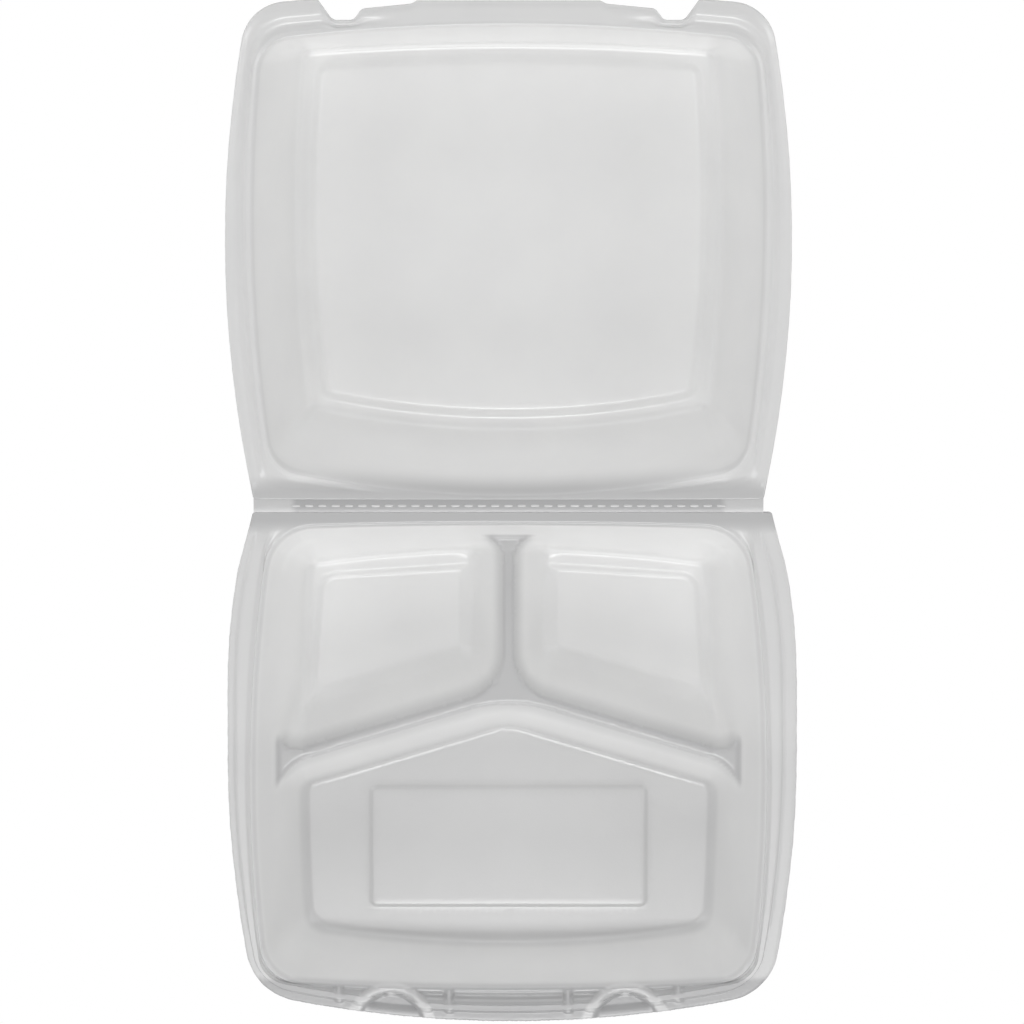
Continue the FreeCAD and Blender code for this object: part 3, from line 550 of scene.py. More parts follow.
# Base tray
def tab_distance(x, y):
    """Distance from the middle of the nearer half-moon tab's circle."""
    return np.hypot(np.abs(x) - TAB_OFFSET, y - TAB_TOP - TAB_RADIUS)


def front_details(rings):
    """Arches, half-moon tabs and ribs of the base's front flange."""
    x, y, z = np.moveaxis(rings, 2, 0)
    away = tab_distance(x, y)
    rim_line = TRAY_RIM["front"] + 0.9 - x ** 2 / (2 * TRAY_RIM["front_r"])
    on_flange = (y > rim_line) & (z > FLANGE_UNDERSIDE + 0.2)
    inner = TAB_RADIUS + 0.2
    outer = TAB_RADIUS + ARCH_WIDTH
    raised = smooth(inner - 0.6, inner + 0.8, away) * (1 - smooth(outer - 1.2, outer + 0.4, away))
    for rib in RIBS:
        beside = np.abs(np.abs(x) - rib)
        raised = np.maximum(raised, 1 - smooth(RIB_HALF - 0.5, RIB_HALF + 0.9, beside))
    within = 1 - smooth(*DETAIL_END, y + x ** 2 / (2 * BASE_EDGE["front_r"]))
    tab = 1 - smooth(TAB_RADIUS - 1.6, TAB_RADIUS - 0.4, away)
    top = FLANGE_TOP + BEAD_HEIGHT
    lifted = z + (np.maximum(z, top) - z) * raised * within
    sunken = lifted + (FLANGE_TOP - TAB_DROP - lifted) * tab * (0.35 + 0.65 * within)
    return np.stack([x, y, np.where(on_flange, sunken, z)], 2)


def shouldered(plan):
    """The base's outer edge, a little fuller beside the fold."""
    y = plan[:, 1]
    return plan * np.stack([1 + SHOULDER * smooth(3, 28, y) * (1 - smooth(40, 88, y)), np.ones(len(y))], 1)


def outwards(plan):
    """Unit directions away from the middle of a half, at each point of a plan."""
    directions = plan - (0, CAVITY_WIDEST)
    return directions / np.linalg.norm(directions, axis=1)[:, None]


def ragged(plan, amount):
    """A trimmed foam edge, pushed in and out a little all along."""
    place = np.arange(len(plan))
    wave = np.sin(place * 0.83) + np.sin(place * 1.97 + 1.3) + np.sin(place * 0.21 + 0.4)
    push = amount * (3 + wave) / 6 * smooth(6, 20, plan[:, 1])
    return plan - outwards(plan) * push[:, None]


def tray_inside(land):
    """Rings from the base's floor up its wall and over the rounded rim."""
    rim = at(outline(**TRAY_RIM), FLANGE_TOP)
    foot = at(outline(**TRAY_FOOT), LEDGE)
    floor_ring = at(outline(**grown(TRAY_FOOT, -TRAY_FILLET)), LEDGE)
    height = FLANGE_TOP - LEDGE
    low_wall = foot + (rim - foot) * TRAY_FILLET / height
    high_wall = foot + (rim - foot) * (1 - RIM_ROUND / height)
    rings = bend(floor_ring, foot, low_wall, 8)
    rings += between(low_wall, high_wall, 20)
    rings += bend(high_wall, rim, land, 6)
    return rings


GROOVE_PLACES = (0.15, 0.3, 0.4, 0.5, 0.65, 0.78, 0.87, 0.94, 1.0)
BEAD_PLACES = (0.05, 0.1, 0.15, 0.21, 0.35, 0.5, 0.65, 0.79, 0.85, 0.9, 0.95, 1.0)


def groove_rings(land, bead_inner, room):
    """Rings across the groove between the rim and the bead, deepest in front, shallow where it is narrow."""
    rings = []
    for t in GROOVE_PLACES:
        ring = land + (bead_inner - land) * t
        dip = smooth(0.1, 0.45, t) * (1 - smooth(0.6, 1.0, t))
        wanted = GROOVE_DEPTH + (FRONT_GROOVE_DEPTH - GROOVE_DEPTH) * smooth(150, 178, ring[:, 1])
        depth = np.minimum(wanted, GROOVE_SLOPE * room)
        ring[:, 2] -= depth * dip * smooth(BEAD_START, BEAD_START + 10, ring[:, 1])
        rings.append(ring)
    return rings


def bead_rings(bead_inner, bead_outer):
    """Rings over the bead that runs along the base's edge."""
    rings = []
    for t in BEAD_PLACES:
        ring = bead_inner + (bead_outer - bead_inner) * t
        up = smooth(0.0, 0.21, t) * (1 - smooth(0.79, 1.0, t))
        ring[:, 2] += BEAD_HEIGHT * up * smooth(BEAD_START, BEAD_START + 7, ring[:, 1])
        rings.append(ring)
    return rings


def tray_flange(land):
    """Rings over the base's groove and bead, kept apart where the bead comes near the rim."""
    front = BASE_EDGE["front"] - BEAD_INSET - BEAD_FRONT_WIDTH - LAND_MARGIN - BEAD_GAP
    inner = outline(**grown(TRAY_RIM, LAND_MARGIN + BEAD_GAP, heel=STRIP_HALF + 3.4, front=front,
                            front_r=BASE_EDGE["front_r"], heel_corner=12.0, front_corner=9.0))
    clear = plan_distance(grown(TRAY_RIM, LAND_MARGIN), *inner.T)
    bead_inner = at(inner + outwards(inner) * np.maximum(LEAST_ROOM - clear, 0)[:, None], FLANGE_TOP)
    outer = outline(**grown(BASE_EDGE, -BEAD_INSET, heel=STRIP_HALF + 0.6 - BEAD_INSET,
                            heel_corner=BEAD_INSET + 2.0))
    bead_outer = at(shouldered(outer), FLANGE_TOP)
    rings = groove_rings(land, bead_inner, np.maximum(clear, LEAST_ROOM))
    rings += bead_rings(bead_inner, bead_outer)
    return rings


def tray_edge(start):
    """Rings from the bead's outer foot round the trimmed edge to the flange's underside."""
    spec = dict(BASE_EDGE, heel=STRIP_HALF)
    edge = ragged(shouldered(outline(**spec, shift=BASE_SHIFT)), EDGE_WEAR)
    inner_spec = grown(spec, -EDGE_ROUND, heel=STRIP_HALF - 0.3, heel_corner=2.4)
    inner = shouldered(outline(**inner_spec, shift=BASE_SHIFT))
    rings = between(start, at(inner, FLANGE_TOP), 3)
    rings += bend(at(inner, FLANGE_TOP), at(edge, FLANGE_TOP), at(edge, FLANGE_TOP - EDGE_ROUND), 4)
    rings += bend(at(edge, FLANGE_UNDERSIDE + SMALL_ROUND), at(edge, FLANGE_UNDERSIDE),
                  at(inner, FLANGE_UNDERSIDE), 3)
    return rings


def tray_outside(start):
    """Rings from the flange's underside down the base's outside."""
    rim = under_rim(TRAY_RIM, TRAY_FLOOR, TRAY_DRAFTS)
    fillet = TRAY_FILLET + FOAM / 2
    height = FLANGE_UNDERSIDE - FOOT_STEP
    margin = at(outline(**grown(rim, 1.0, heel=rim["heel"] + 0.6)), FLANGE_UNDERSIDE)
    top = at(outline(**rim), FLANGE_UNDERSIDE)
    foot = at(outline(**TRAY_OUTER_FOOT), FOOT_STEP)
    floor_ring = at(outline(**grown(TRAY_OUTER_FOOT, -TRAY_FILLET - FOAM / 2)), FOOT_STEP)
    high_wall = top + (foot - top) * 1.6 / height
    low_wall = foot + (top - foot) * fillet / height
    rings = between(start, margin, 1)
    rings += bend(margin, top, high_wall, 4)
    rings += between(high_wall, low_wall, 10)
    rings += bend(low_wall, foot, floor_ring, 6)
    return rings


def tray_rings():
    """Rings of the base tray from its floor up, over the flange and down the outside."""
    land = at(outline(**grown(TRAY_RIM, LAND_MARGIN)), FLANGE_TOP)
    rings = tray_inside(land) + tray_flange(land)
    rings += tray_edge(rings[-1])
    rings += tray_outside(rings[-1])
    return np.array(rings)


def with_dividers(rings):
    """The base's rings raised onto the dividers where these run into the walls, and softened there."""
    turn = int(np.argmax(np.abs(rings[:, HEEL_POINTS + CORNER_POINTS + SIDE_POINTS // 2, 0])))
    x, y, z = np.moveaxis(rings, 2, 0)
    top = np.arange(len(rings))[:, None] < turn
    foot = np.where(top, plan_distance(TRAY_FOOT, x, y), plan_distance(TRAY_OUTER_FOOT, x, y))
    wall = np.where(foot > 1.0, z, np.where(top, LEDGE, FOOT_STEP) + foot / WALL_SLOPE)
    divider = np.where(top, top_dividers(x, y, wall), under_dividers(x, y, wall))
    near = np.abs(z - divider)
    raised = front_details(np.stack([x, y, np.maximum(z, divider)], 2))
    raised = relax(raised, np.where(top, 1.0, 0.6) * (1 - smooth(1.5, 4.0, near)), 8)
    raised[0, :, 2] = tray_floor_top(*raised[0, :, :2].T)
    raised[-1, :, 2] = tray_floor_underside(*raised[-1, :, :2].T)
    return raised


def tray_top_points(ring):
    """Points on the base's floor, closest together at the dividers, the steps and the plate's edge."""
    medium = grid_points(*FIELD, MEDIUM_STEP)
    rounded = (nearest_divider(*medium.T) < 19) & (tray_floor_top(*medium.T) > LEDGE + 0.4)
    everywhere = grid_points(*FIELD, COARSE_STEP)
    field = thin_out(np.concatenate([divider_rows(), medium[rounded], everywhere]), FIELD_CELL)
    steps = floor_distance(*field.T)
    by_step = (steps > -STEP_REACH - 0.4) & (steps < STEP_RUN + 1.6)
    by_plate = np.abs(plate_distance(*field.T)) < PLATE_EDGE + 0.4
    high = tray_floor_top(*field.T) > LEDGE + 0.6
    kept = field[high | ~(by_step | by_plate)]
    points = thin_out(np.concatenate([floor_edge_rows(), kept]), TOP_CELL)
    return points[inside(points, ring, TOP_MARGIN)]


def tray_under_points(ring):
    """Points on the base's underside, closest together at the dividers and round the feet."""
    fine = grid_points(*FIELD, FINE_STEP)
    steps = floor_distance(*fine.T)
    feet = (steps > FOAM - 1.6) & (steps < FOAM + STEP_RUN + 1.0)
    everywhere = grid_points(*FIELD, COARSE_STEP)
    points = thin_out(np.concatenate([divider_rows()[::2], fine[feet][::2], everywhere]), UNDER_CELL)
    return points[inside(points, ring, UNDER_MARGIN)]


def divider_painted_shade(x, y, z):
    """Painted shade on the dividers, growing up their slopes and darkest on their flat tops."""
    slanted = divider_lines(x, y)[1]
    slope = (0.32 + 0.16 * smooth(-1, 1, slanted)) * smooth(CREST - 10, CREST - 1, z)
    crest = slope + (0.72 - slope) * smooth(CREST - 1.8, CREST - 0.1, z)
    fade = (1 - smooth(CREST + 0.3, CREST + 3, z)) * (1 - smooth(6, 11, nearest_divider(x, y)))
    return crest * fade


def front_painted_shade(x, y, z):
    """Painted shade on the front flange, darkest in its tabs and at its edge, and lightest on its arches."""
    bowed = y + x ** 2 / (2 * TRAY_RIM["front_r"])
    flange = smooth(FLANGE_TOP - 6, FLANGE_TOP - 1, z)
    front = flange * smooth(TRAY_RIM["front"] - 2.0, TRAY_RIM["front"] + 1.5, bowed)
    away = tab_distance(x, y)
    outer = TAB_RADIUS + ARCH_WIDTH
    arch = smooth(TAB_RADIUS - 0.5, TAB_RADIUS + 0.5, away) * (1 - smooth(outer - 0.5, outer + 0.5, away))
    tab = 1 - smooth(TAB_RADIUS - 1.4, TAB_RADIUS - 0.4, away)
    rim = smooth(189, 193, bowed) * (1 - arch)
    return front * (0.88 - 0.25 * arch + 0.12 * np.maximum(tab, rim))


def tray_painted_shade(x, y, z):
    """Painted shade on the base: at the dividers, the fold, the flanges and the large compartment."""
    # painted shade on the flange beside the fold
    fold = 0.75 * smooth(FLANGE_TOP - 2, FLANGE_TOP - 0.6, z) * (1 - smooth(5, 15, y))
    # painted shade over the base's front half, stronger on its floor there, and on every flange
    floor_and_flange_shade = smooth(80, 100, y) * (0.08 + 0.33 * (1 - smooth(4, 10, z)))
    floor_and_flange_shade += 0.32 * smooth(FLANGE_TOP - 2, FLANGE_TOP - 0.5, z)
    return np.maximum.reduce([divider_painted_shade(x, y, z), fold, front_painted_shade(x, y, z), floor_and_flange_shade])


def base_tray(material):
    rings = with_dividers(tray_rings())
    vertices, faces = shell(rings, tray_top_points(rings[0, :, :2]), tray_under_points(rings[-1, :, :2]),
                            tray_floor_top, tray_floor_underside)
    painted_shade = tray_painted_shade(*vertices.T)
    vertices[:, 1] = HINGE[1] - vertices[:, 1]
    return plain_mesh("base_tray_form", vertices, [face[::-1] for face in faces], painted_shade, material)


# Lid
NOTCH_PROFILE = [(0.0, 188.2), (33.6, 188.2), (36.0, 187.0), (53.2, 185.3), (54.4, 184.6), (56.6, 181.6),
                 (58.0, 181.0), (63.6, 181.0), (65.2, 181.8), (74.6, 195.0), (90.0, 215.0)]
LIP_PLACES = (0.03, 0.08, 0.13, 0.18, 0.24, 0.3, 0.37, 0.44, 0.51, 0.58, 0.66, 0.74, 0.82, 0.9, 0.96, 1.0)
LID_FOOT = sunk(LID_RIM, LID_FLOOR, LID_DRAFTS, FOAM, 0)
LID_OUTER_FOOT = sunk(LID_RIM, LID_FLOOR, LID_DRAFTS, 0, FOAM)
PANEL = grown(dict(LID_FOOT, heel_corner=PANEL_CORNER + BAND_WIDTH,
                   front_corner=PANEL_CORNER + BAND_WIDTH), -BAND_WIDTH)


def notched(points):
    """The lid's front edge, cut back to the flap and its two notches."""
    limit = np.interp(np.abs(points[:, 0]), *zip(*NOTCH_PROFILE))
    front = points[:, 1] > CAVITY_WIDEST
    cut = points.copy()
    cut[:, 1] = np.where(front, np.minimum(points[:, 1], limit), points[:, 1])
    return cut


def lip_fade(y):
    """How much of the lip's drop there is: none beside the fold, all of it further out."""
    return smooth(3.0, 10.0, y)


def lip_groove(t):
    """Depth of the groove between the rim and the lip's crown, at a share t of the way out."""
    return LIP_GROOVE * smooth(0.06, 0.26, t) * (1 - smooth(0.3, 0.6, t))


def lid_inside(land):
    """Rings from the lid's panel down to its band, up the wall and over the rounded rim."""
    panel_in = at(outline(**grown(PANEL, -2 * PANEL_SLOPE)), FOAM + PANEL_STEP)
    panel_top = at(outline(**grown(PANEL, -PANEL_SLOPE)), FOAM + PANEL_STEP)
    panel_low = at(outline(**grown(PANEL, PANEL_SLOPE)), FOAM)
    panel_out = at(outline(**grown(PANEL, 2 * PANEL_SLOPE)), FOAM)
    halfway = (panel_top + panel_low) / 2
    rim = at(outline(**LID_RIM), FLANGE_TOP)
    foot = at(outline(**LID_FOOT), FOAM)
    band_end = at(outline(**grown(LID_FOOT, -LID_FILLET)), FOAM)
    height = FLANGE_TOP - FOAM
    low_wall = foot + (rim - foot) * LID_FILLET / height
    high_wall = foot + (rim - foot) * (1 - RIM_ROUND / height)
    rings = bend(panel_in, panel_top, halfway, 4)
    rings += bend(halfway, panel_low, panel_out, 4)[1:]
    rings += between(panel_out, band_end, 3)
    rings += bend(band_end, foot, low_wall, 6)
    rings += between(low_wall, high_wall, 12)
    rings += bend(high_wall, rim, land, 8)
    return rings


def lid_flange(land):
    """Rings across the lid's lowered lip with its groove, and round its trimmed edge."""
    spec = dict(LID_EDGE, heel=STRIP_HALF)
    edge_plan = ragged(notched(outline(**spec)), EDGE_WEAR / 2)
    inner_plan = notched(outline(**grown(spec, -SMALL_ROUND, heel=STRIP_HALF - 0.2, heel_corner=2.2)))
    fade = lip_fade(inner_plan[:, 1])
    level = FLANGE_TOP - LIP_DROP * fade - LIP_ROLL * fade
    inner_edge = at(inner_plan, level)
    edge = at(edge_plan, level)
    low_edge = edge - (0, 0, FOAM)
    rings = []
    for t in LIP_PLACES:
        ring = land + (inner_edge - land) * t
        groove = lip_groove(t) * smooth(38, 66, np.abs(ring[:, 0]))
        drop = LIP_DROP + groove + LIP_ROLL * smooth(0.7, 1, t)
        ring[:, 2] = FLANGE_TOP - lip_fade(ring[:, 1]) * drop
        rings.append(ring)
    rings += bend(inner_edge, edge, edge - (0, 0, SMALL_ROUND), 4)[1:]
    rings += bend(low_edge + (0, 0, SMALL_ROUND), low_edge, inner_edge - (0, 0, FOAM), 3)
    return rings


def lid_outside(start):
    """Rings from the lip's underside down the lid's outside."""
    lip_low = FLANGE_TOP - LIP_DROP - FOAM
    rim = under_rim(LID_RIM, LID_FLOOR, LID_DRAFTS)
    margin = at(outline(**grown(rim, 0.9, heel=rim["heel"] + 0.5)), lip_low)
    top = at(outline(**rim), lip_low)
    foot = at(outline(**LID_OUTER_FOOT), 0)
    floor_ring = at(outline(**grown(LID_OUTER_FOOT, -LID_FILLET)), 0)
    high_wall = top + (foot - top) * 1.4 / lip_low
    low_wall = foot + (top - foot) * LID_FILLET / lip_low
    rings = between(start, margin, 1)
    rings += bend(margin, top, high_wall, 4)
    rings += between(high_wall, low_wall, 8)
    rings += bend(low_wall, foot, floor_ring, 5)
    return rings


def lid_recess():
    """Rings up into the hollow behind the lid's panel."""
    spec = grown(PANEL, -FOAM / 2)
    recess_out = at(outline(**grown(spec, 0.8)), 0)
    recess_low = at(outline(**spec), 0)
    recess_top = at(outline(**spec), PANEL_STEP)
    recess_in = at(outline(**grown(spec, -0.8)), PANEL_STEP)
    halfway = (recess_low + recess_top) / 2
    return bend(recess_out, recess_low, halfway, 3) + bend(halfway, recess_top, recess_in, 3)[1:]


def lid_rings():
    """Rings of the lid from its panel up, over the flange and down the outside."""
    land = at(outline(**grown(LID_RIM, 1.1)), FLANGE_TOP)
    land[:, 2] -= LIP_DROP * lip_fade(land[:, 1])
    rings = lid_inside(land) + lid_flange(land)
    rings += lid_outside(rings[-1])
    rings += lid_recess()
    return np.array(rings)


def panel_height(x, y):
    return np.full_like(x, FOAM + PANEL_STEP)


def recess_height(x, y):
    return np.full_like(x, PANEL_STEP)


def lid_painted_shade(y, z):
    """Painted shade on the lid: along the fold and at the flanges."""
    fold = 0.65 * (1 - smooth(4, 16, y)) * smooth(FLANGE_TOP - 14, FLANGE_TOP - 2, z)
    return np.maximum(fold, 0.25 * smooth(FLANGE_TOP - 4, FLANGE_TOP - 1.5, z))


def lid(material):
    rings = lid_rings()
    field = grid_points(*FIELD, PANEL_GRID)
    top_points = field[inside(field, rings[0, :, :2], LID_MARGIN)]
    under_points = field[inside(field, rings[-1, :, :2], LID_MARGIN)]
    vertices, faces = shell(rings, top_points, under_points, panel_height, recess_height)
    painted_shade = lid_painted_shade(vertices[:, 1], vertices[:, 2])
    vertices[:, 1] = HINGE[1] + vertices[:, 1]
    return plain_mesh("lid_form", vertices, faces, painted_shade, material)


# Pressed fold between the halves
FOLD_HALF = 94.6
FOLD_REACH = STRIP_HALF + 0.5
FOLD_CROWN = 0.1
FOLD_SIDES = 0.3
FOLD_BOTTOM = 1.5
FOLD_COLUMNS = 190
FOLD_ROWS = 15
DASHES = 33
DASH_PITCH = 4.93
DASH_SIZE = (3.4, 1.0, 0.5)
DASH_SINK = 0.02


def fold_strip(material):
    """A thin, sunken strip along the fold, crowned along its middle."""
    across = np.linspace(-FOLD_HALF, FOLD_HALF, FOLD_COLUMNS)
    along = np.linspace(-FOLD_REACH, FOLD_REACH, FOLD_ROWS)
    x, y = np.meshgrid(across, along)
    drop = FOLD_CROWN + (FOLD_SIDES - FOLD_CROWN) * (y / FOLD_REACH) ** 2
    sheet = [np.stack([x.ravel(), y.ravel() + HINGE[1], z.ravel()], 1)
             for z in (FLANGE_TOP - drop, np.full_like(x, FLANGE_TOP - FOLD_BOTTOM))]
    index = np.arange(x.size).reshape(x.shape)
    top_faces = np.stack([index[:-1, :-1], index[:-1, 1:], index[1:, 1:], index[1:, :-1]], 2).reshape(-1, 4)
    rim = np.concatenate([index[0], index[1:, -1], index[-1, -2::-1], index[-2:0:-1, 0]])
    following = np.roll(rim, -1)
    sides = np.stack([rim, rim + x.size, following + x.size, following], 1)
    faces = np.concatenate([top_faces, top_faces[:, ::-1] + x.size, sides])
    dashed = DASHES * DASH_PITCH / 2
    # painted shade on the strip, heavy along the dashed middle and lighter beyond the row of dashes
    painted_shade = 0.9 - 0.35 * smooth(dashed - 3, dashed, np.abs(x.ravel()))
    return plain_mesh("fold_strip", np.concatenate(sheet), faces, np.tile(painted_shade, 2), material)


def dash_tree():
    """Geometry nodes that set rounded dashes in a row along the fold."""
    tree = bpy.data.node_groups.new("fold_dashes", "GeometryNodeTree")
    tree.interface.new_socket("Geometry", in_out="OUTPUT", socket_type="NodeSocketGeometry")
    inputs = {"Count": "NodeSocketInt", "Pitch": "NodeSocketFloat", "Dash Size": "NodeSocketVector",
              "Middle": "NodeSocketVector", "Foam": "NodeSocketMaterial"}
    for name, kind in inputs.items():
        tree.interface.new_socket(name, in_out="INPUT", socket_type=kind)
    nodes, links = tree.nodes, tree.links
    given = nodes.new("NodeGroupInput")
    out = nodes.new("NodeGroupOutput")
    gaps = nodes.new("ShaderNodeMath")
    gaps.operation = "SUBTRACT"
    gaps.inputs[1].default_value = 1.0
    half_run = nodes.new("ShaderNodeMath")
    half_run.operation = "MULTIPLY"
    back = nodes.new("ShaderNodeMath")
    back.operation = "MULTIPLY"
    back.inputs[1].default_value = -0.5
    links.new(given.outputs["Count"], gaps.inputs[0])
    links.new(gaps.outputs["Value"], half_run.inputs[0])
    links.new(given.outputs["Pitch"], half_run.inputs[1])
    links.new(half_run.outputs["Value"], back.inputs[0])
    start = nodes.new("ShaderNodeCombineXYZ")
    offset = nodes.new("ShaderNodeCombineXYZ")
    first = nodes.new("ShaderNodeVectorMath")
    links.new(back.outputs["Value"], start.inputs["X"])
    links.new(given.outputs["Pitch"], offset.inputs["X"])
    links.new(start.outputs["Vector"], first.inputs[0])
    links.new(given.outputs["Middle"], first.inputs[1])
    row = nodes.new("GeometryNodeMeshLine")
    links.new(given.outputs["Count"], row.inputs["Count"])
    links.new(first.outputs["Vector"], row.inputs["Start Location"])
    links.new(offset.outputs["Vector"], row.inputs["Offset"])
    block = nodes.new("GeometryNodeMeshCube")
    block.inputs["Vertices X"].default_value = 4
    links.new(given.outputs["Dash Size"], block.inputs["Size"])
    rounded = nodes.new("GeometryNodeSubdivisionSurface")
    rounded.inputs["Level"].default_value = 2
    links.new(block.outputs["Mesh"], rounded.inputs["Mesh"])
    placed = nodes.new("GeometryNodeInstanceOnPoints")
    links.new(row.outputs["Mesh"], placed.inputs["Points"])
    links.new(rounded.outputs["Mesh"], placed.inputs["Instance"])
    real = nodes.new("GeometryNodeRealizeInstances")
    links.new(placed.outputs["Instances"], real.inputs["Geometry"])
    finish = nodes.new("GeometryNodeSetMaterial")
    links.new(real.outputs["Geometry"], finish.inputs["Geometry"])
    links.new(given.outputs["Foam"], finish.inputs["Material"])
    links.new(finish.outputs["Geometry"], out.inputs["Geometry"])
    return tree


def fold_dashes(material):
    """The stamped dashes along the fold, as a plain mesh, with lighter painted shade than the strip."""
    mesh = bpy.data.meshes.new("dash_row")
    maker = bpy.data.objects.new("dash_row", mesh)
    bpy.context.scene.collection.objects.link(maker)
    modifier = maker.modifiers.new("dashes", "NODES")
    tree = dash_tree()
    values = {
        "Count": DASHES,
        "Pitch": DASH_PITCH * MM,
        "Dash Size": [size * MM for size in DASH_SIZE],
        "Middle": [0.0, HINGE[1] * MM, (FLANGE_TOP - FOLD_CROWN - DASH_SINK) * MM],
        "Foam": material,
    }
    modifier.node_group = tree
    for socket in tree.interface.items_tree:
        if socket.in_out == "INPUT":
            modifier[socket.identifier] = values[socket.name]
    seen = maker.evaluated_get(bpy.context.evaluated_depsgraph_get())
    made = bpy.data.meshes.new_from_object(seen)
    made.name = "fold_dashes"
    # painted shade on the dashes, lighter than on the strip around them
    mark_painted_shade(made, np.full(len(made.vertices), 0.4))
    made.shade_smooth()
    bpy.data.objects.remove(maker)
    piece = bpy.data.objects.new("fold_dashes", made)
    bpy.context.scene.collection.objects.link(piece)
    return piece


# Materials
SKIN_TONES = ((0.3, (0.83, 0.83, 0.828, 1)), (0.7, (0.855, 0.855, 0.85, 1)))
# grey that the painted shade mixes into the skin colour
PAINTED_SHADE_TONE = (0.40, 0.40, 0.405, 1)


def foam_material():
    """White foamed polystyrene: faint cells, a soft sheen, an uneven skin, and grey painted shade from a
    vertex attribute.
    """
    material = bpy.data.materials.new("white_foam_skin")
    material.use_nodes = True
    nodes, links = material.node_tree.nodes, material.node_tree.links
    shader = nodes["Principled BSDF"]
    place = nodes.new("ShaderNodeTexCoord")
    cells = nodes.new("ShaderNodeTexVoronoi")
    cells.inputs["Scale"].default_value = 900.0
    links.new(place.outputs["Object"], cells.inputs["Vector"])
    clouds = nodes.new("ShaderNodeTexNoise")
    clouds.inputs["Scale"].default_value = 45.0
    clouds.inputs["Detail"].default_value = 5.0
    links.new(place.outputs["Object"], clouds.inputs["Vector"])
    tint = nodes.new("ShaderNodeValToRGB")
    for stop, (position, tone) in zip(tint.color_ramp.elements, SKIN_TONES):
        stop.position = position
        stop.color = tone
    links.new(clouds.outputs["Fac"], tint.inputs["Fac"])
    # painted shade: the vertex attribute mixes the skin colour towards grey
    painted_shade = nodes.new("ShaderNodeAttribute")
    painted_shade.attribute_name = "painted_shade"
    shade_mix = nodes.new("ShaderNodeMix")
    shade_mix.data_type = "RGBA"
    shade_mix.inputs["B"].default_value = PAINTED_SHADE_TONE
    links.new(painted_shade.outputs["Fac"], shade_mix.inputs["Factor"])
    links.new(tint.outputs["Color"], shade_mix.inputs["A"])
    links.new(shade_mix.outputs["Result"], shader.inputs["Base Color"])
    relief = nodes.new("ShaderNodeMath")
    relief.operation = "MULTIPLY_ADD"
    relief.inputs[1].default_value = 0.35
    links.new(cells.outputs["Distance"], relief.inputs[0])
    links.new(clouds.outputs["Fac"], relief.inputs[2])
    bump = nodes.new("ShaderNodeBump")
    bump.inputs["Strength"].default_value = 0.1
    bump.inputs["Distance"].default_value = 0.0003
    links.new(relief.outputs["Value"], bump.inputs["Height"])
    links.new(bump.outputs["Normal"], shader.inputs["Normal"])
    shader.inputs["Roughness"].default_value = 0.26
    shader.inputs["Specular IOR Level"].default_value = 0.5
    return material


# Studio
LAMP_AIM = (0, 0.13, 0)
LAMPS = (
    ("key", (0.0, -0.80, 1.9), 0.25, 7.4),
    ("left_glint", (-0.7, 0.3, 1.3), 0.25, 2.4),
    ("right_glint", (0.7, 0.3, 1.3), 0.25, 2.4),
    ("front_panel", (0.0, -2.87, 1.25), 1.4, 33.0),
    ("back_panel", (0.0, 2.2, 0.8), 1.0, 9.4),
    ("left_panel", (-1.2, 0.35, 0.55), 0.6, 2.6),
    ("right_panel", (1.2, 0.35, 0.55), 0.6, 2.6),
)


def camera():
    """Overhead view, leaning towards the lid, as in the photograph."""
    lean = math.radians(10.5)
    distance = 3.0
    target = Vector([value * MM for value in HINGE])
    direction = Vector((0, math.sin(lean), math.cos(lean)))
    data = bpy.data.cameras.new("overhead")
    view = bpy.data.objects.new("overhead", data)
    forward = -direction
    up = Vector((0, math.cos(lean), -math.sin(lean)))
    right = forward.cross(up)
    view.matrix_world = Matrix.Translation(target + direction * distance) @ Matrix(
        (right, up, -forward)).transposed().to_4x4()
    focal = 8085.0
    image = 1024.0
    data.sensor_width = 36.0
    data.lens = focal / image * data.sensor_width
    centre_x = 508.5
    centre_y = 506.0
    data.shift_x = (image / 2 - centre_x) / image
    data.shift_y = (centre_y - image / 2) / image
    bpy.context.scene.collection.objects.link(view)
    bpy.context.scene.camera = view


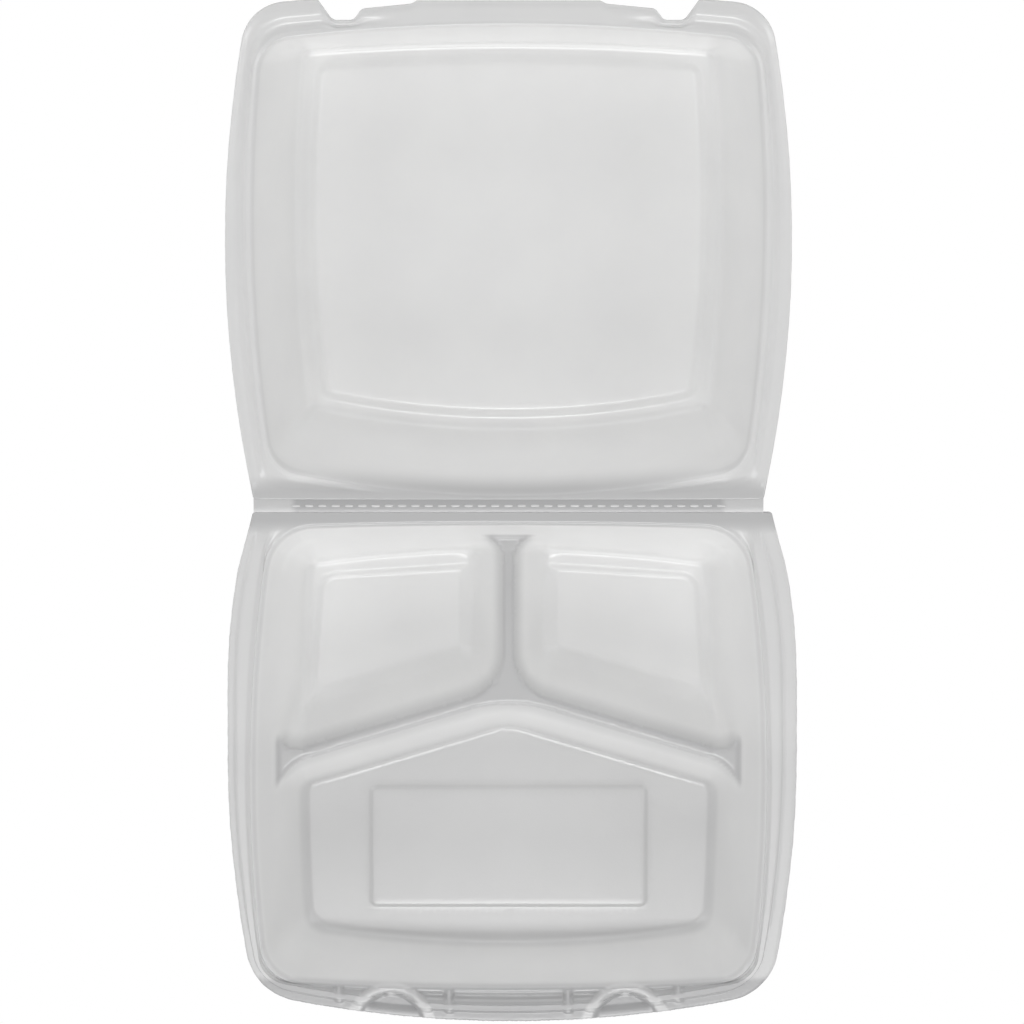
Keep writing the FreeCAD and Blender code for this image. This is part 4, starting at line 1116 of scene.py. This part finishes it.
def floor_material():
    """A pale floor that the camera sees as plain white."""
    pale = bpy.data.materials.new("pale_floor")
    pale.use_nodes = True
    nodes, links = pale.node_tree.nodes, pale.node_tree.links
    shader, out = nodes["Principled BSDF"], nodes["Material Output"]
    shader.inputs["Base Color"].default_value = (0.85, 0.85, 0.85, 1)
    shader.inputs["Roughness"].default_value = 0.9
    glow = nodes.new("ShaderNodeEmission")
    seen = nodes.new("ShaderNodeLightPath")
    blend = nodes.new("ShaderNodeMixShader")
    links.new(seen.outputs["Is Camera Ray"], blend.inputs["Fac"])
    links.new(shader.outputs["BSDF"], blend.inputs[1])
    links.new(glow.outputs["Emission"], blend.inputs[2])
    links.new(blend.outputs["Shader"], out.inputs["Surface"])
    return pale


def ground():
    """A wide floor, a little below the box's feet."""
    side = 3.0
    corners = [(-side, -side, 0), (side, -side, 0), (side, side, 0), (-side, side, 0)]
    sheet = bpy.data.meshes.new("floor")
    sheet.from_pydata(corners, [], [(0, 1, 2, 3)])
    sheet.materials.append(floor_material())
    floor = bpy.data.objects.new("floor", sheet)
    bpy.context.scene.collection.objects.link(floor)
    floor.location.z = -0.0004


def lamp(name, place, size, power):
    """A square soft lamp, aimed at the middle of the opened box."""
    data = bpy.data.lights.new(name, "AREA")
    data.size = size
    data.energy = power
    light = bpy.data.objects.new(name, data)
    light.location = place
    light.rotation_euler = (Vector(LAMP_AIM) - Vector(place)).to_track_quat("-Z", "Y").to_euler()
    bpy.context.scene.collection.objects.link(light)


def studio():
    """Floor, even white sky and soft lamps."""
    scene = bpy.context.scene
    scene.view_settings.view_transform = "Standard"
    ground()
    world = bpy.data.worlds.new("studio")
    world.use_nodes = True
    scene.world = world
    sky = world.node_tree.nodes["Background"]
    sky.inputs["Color"].default_value = (1, 1, 1, 1)
    sky.inputs["Strength"].default_value = 0.28
    for name, place, size, power in LAMPS:
        lamp(name, place, size, power)


camera()
studio()
foam = foam_material()
tray = base_tray(foam)
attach(tray, "base")
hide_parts("base_tray")
cover = lid(foam)
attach(cover, "lid")
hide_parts("lid")
strip = fold_strip(foam)
dashes = fold_dashes(foam)
for piece in (strip, dashes):
    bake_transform(piece)

for piece in (tray, cover, strip, dashes):
    print(piece.name, sum(len(face.vertices) - 2 for face in piece.data.polygons), "triangles")
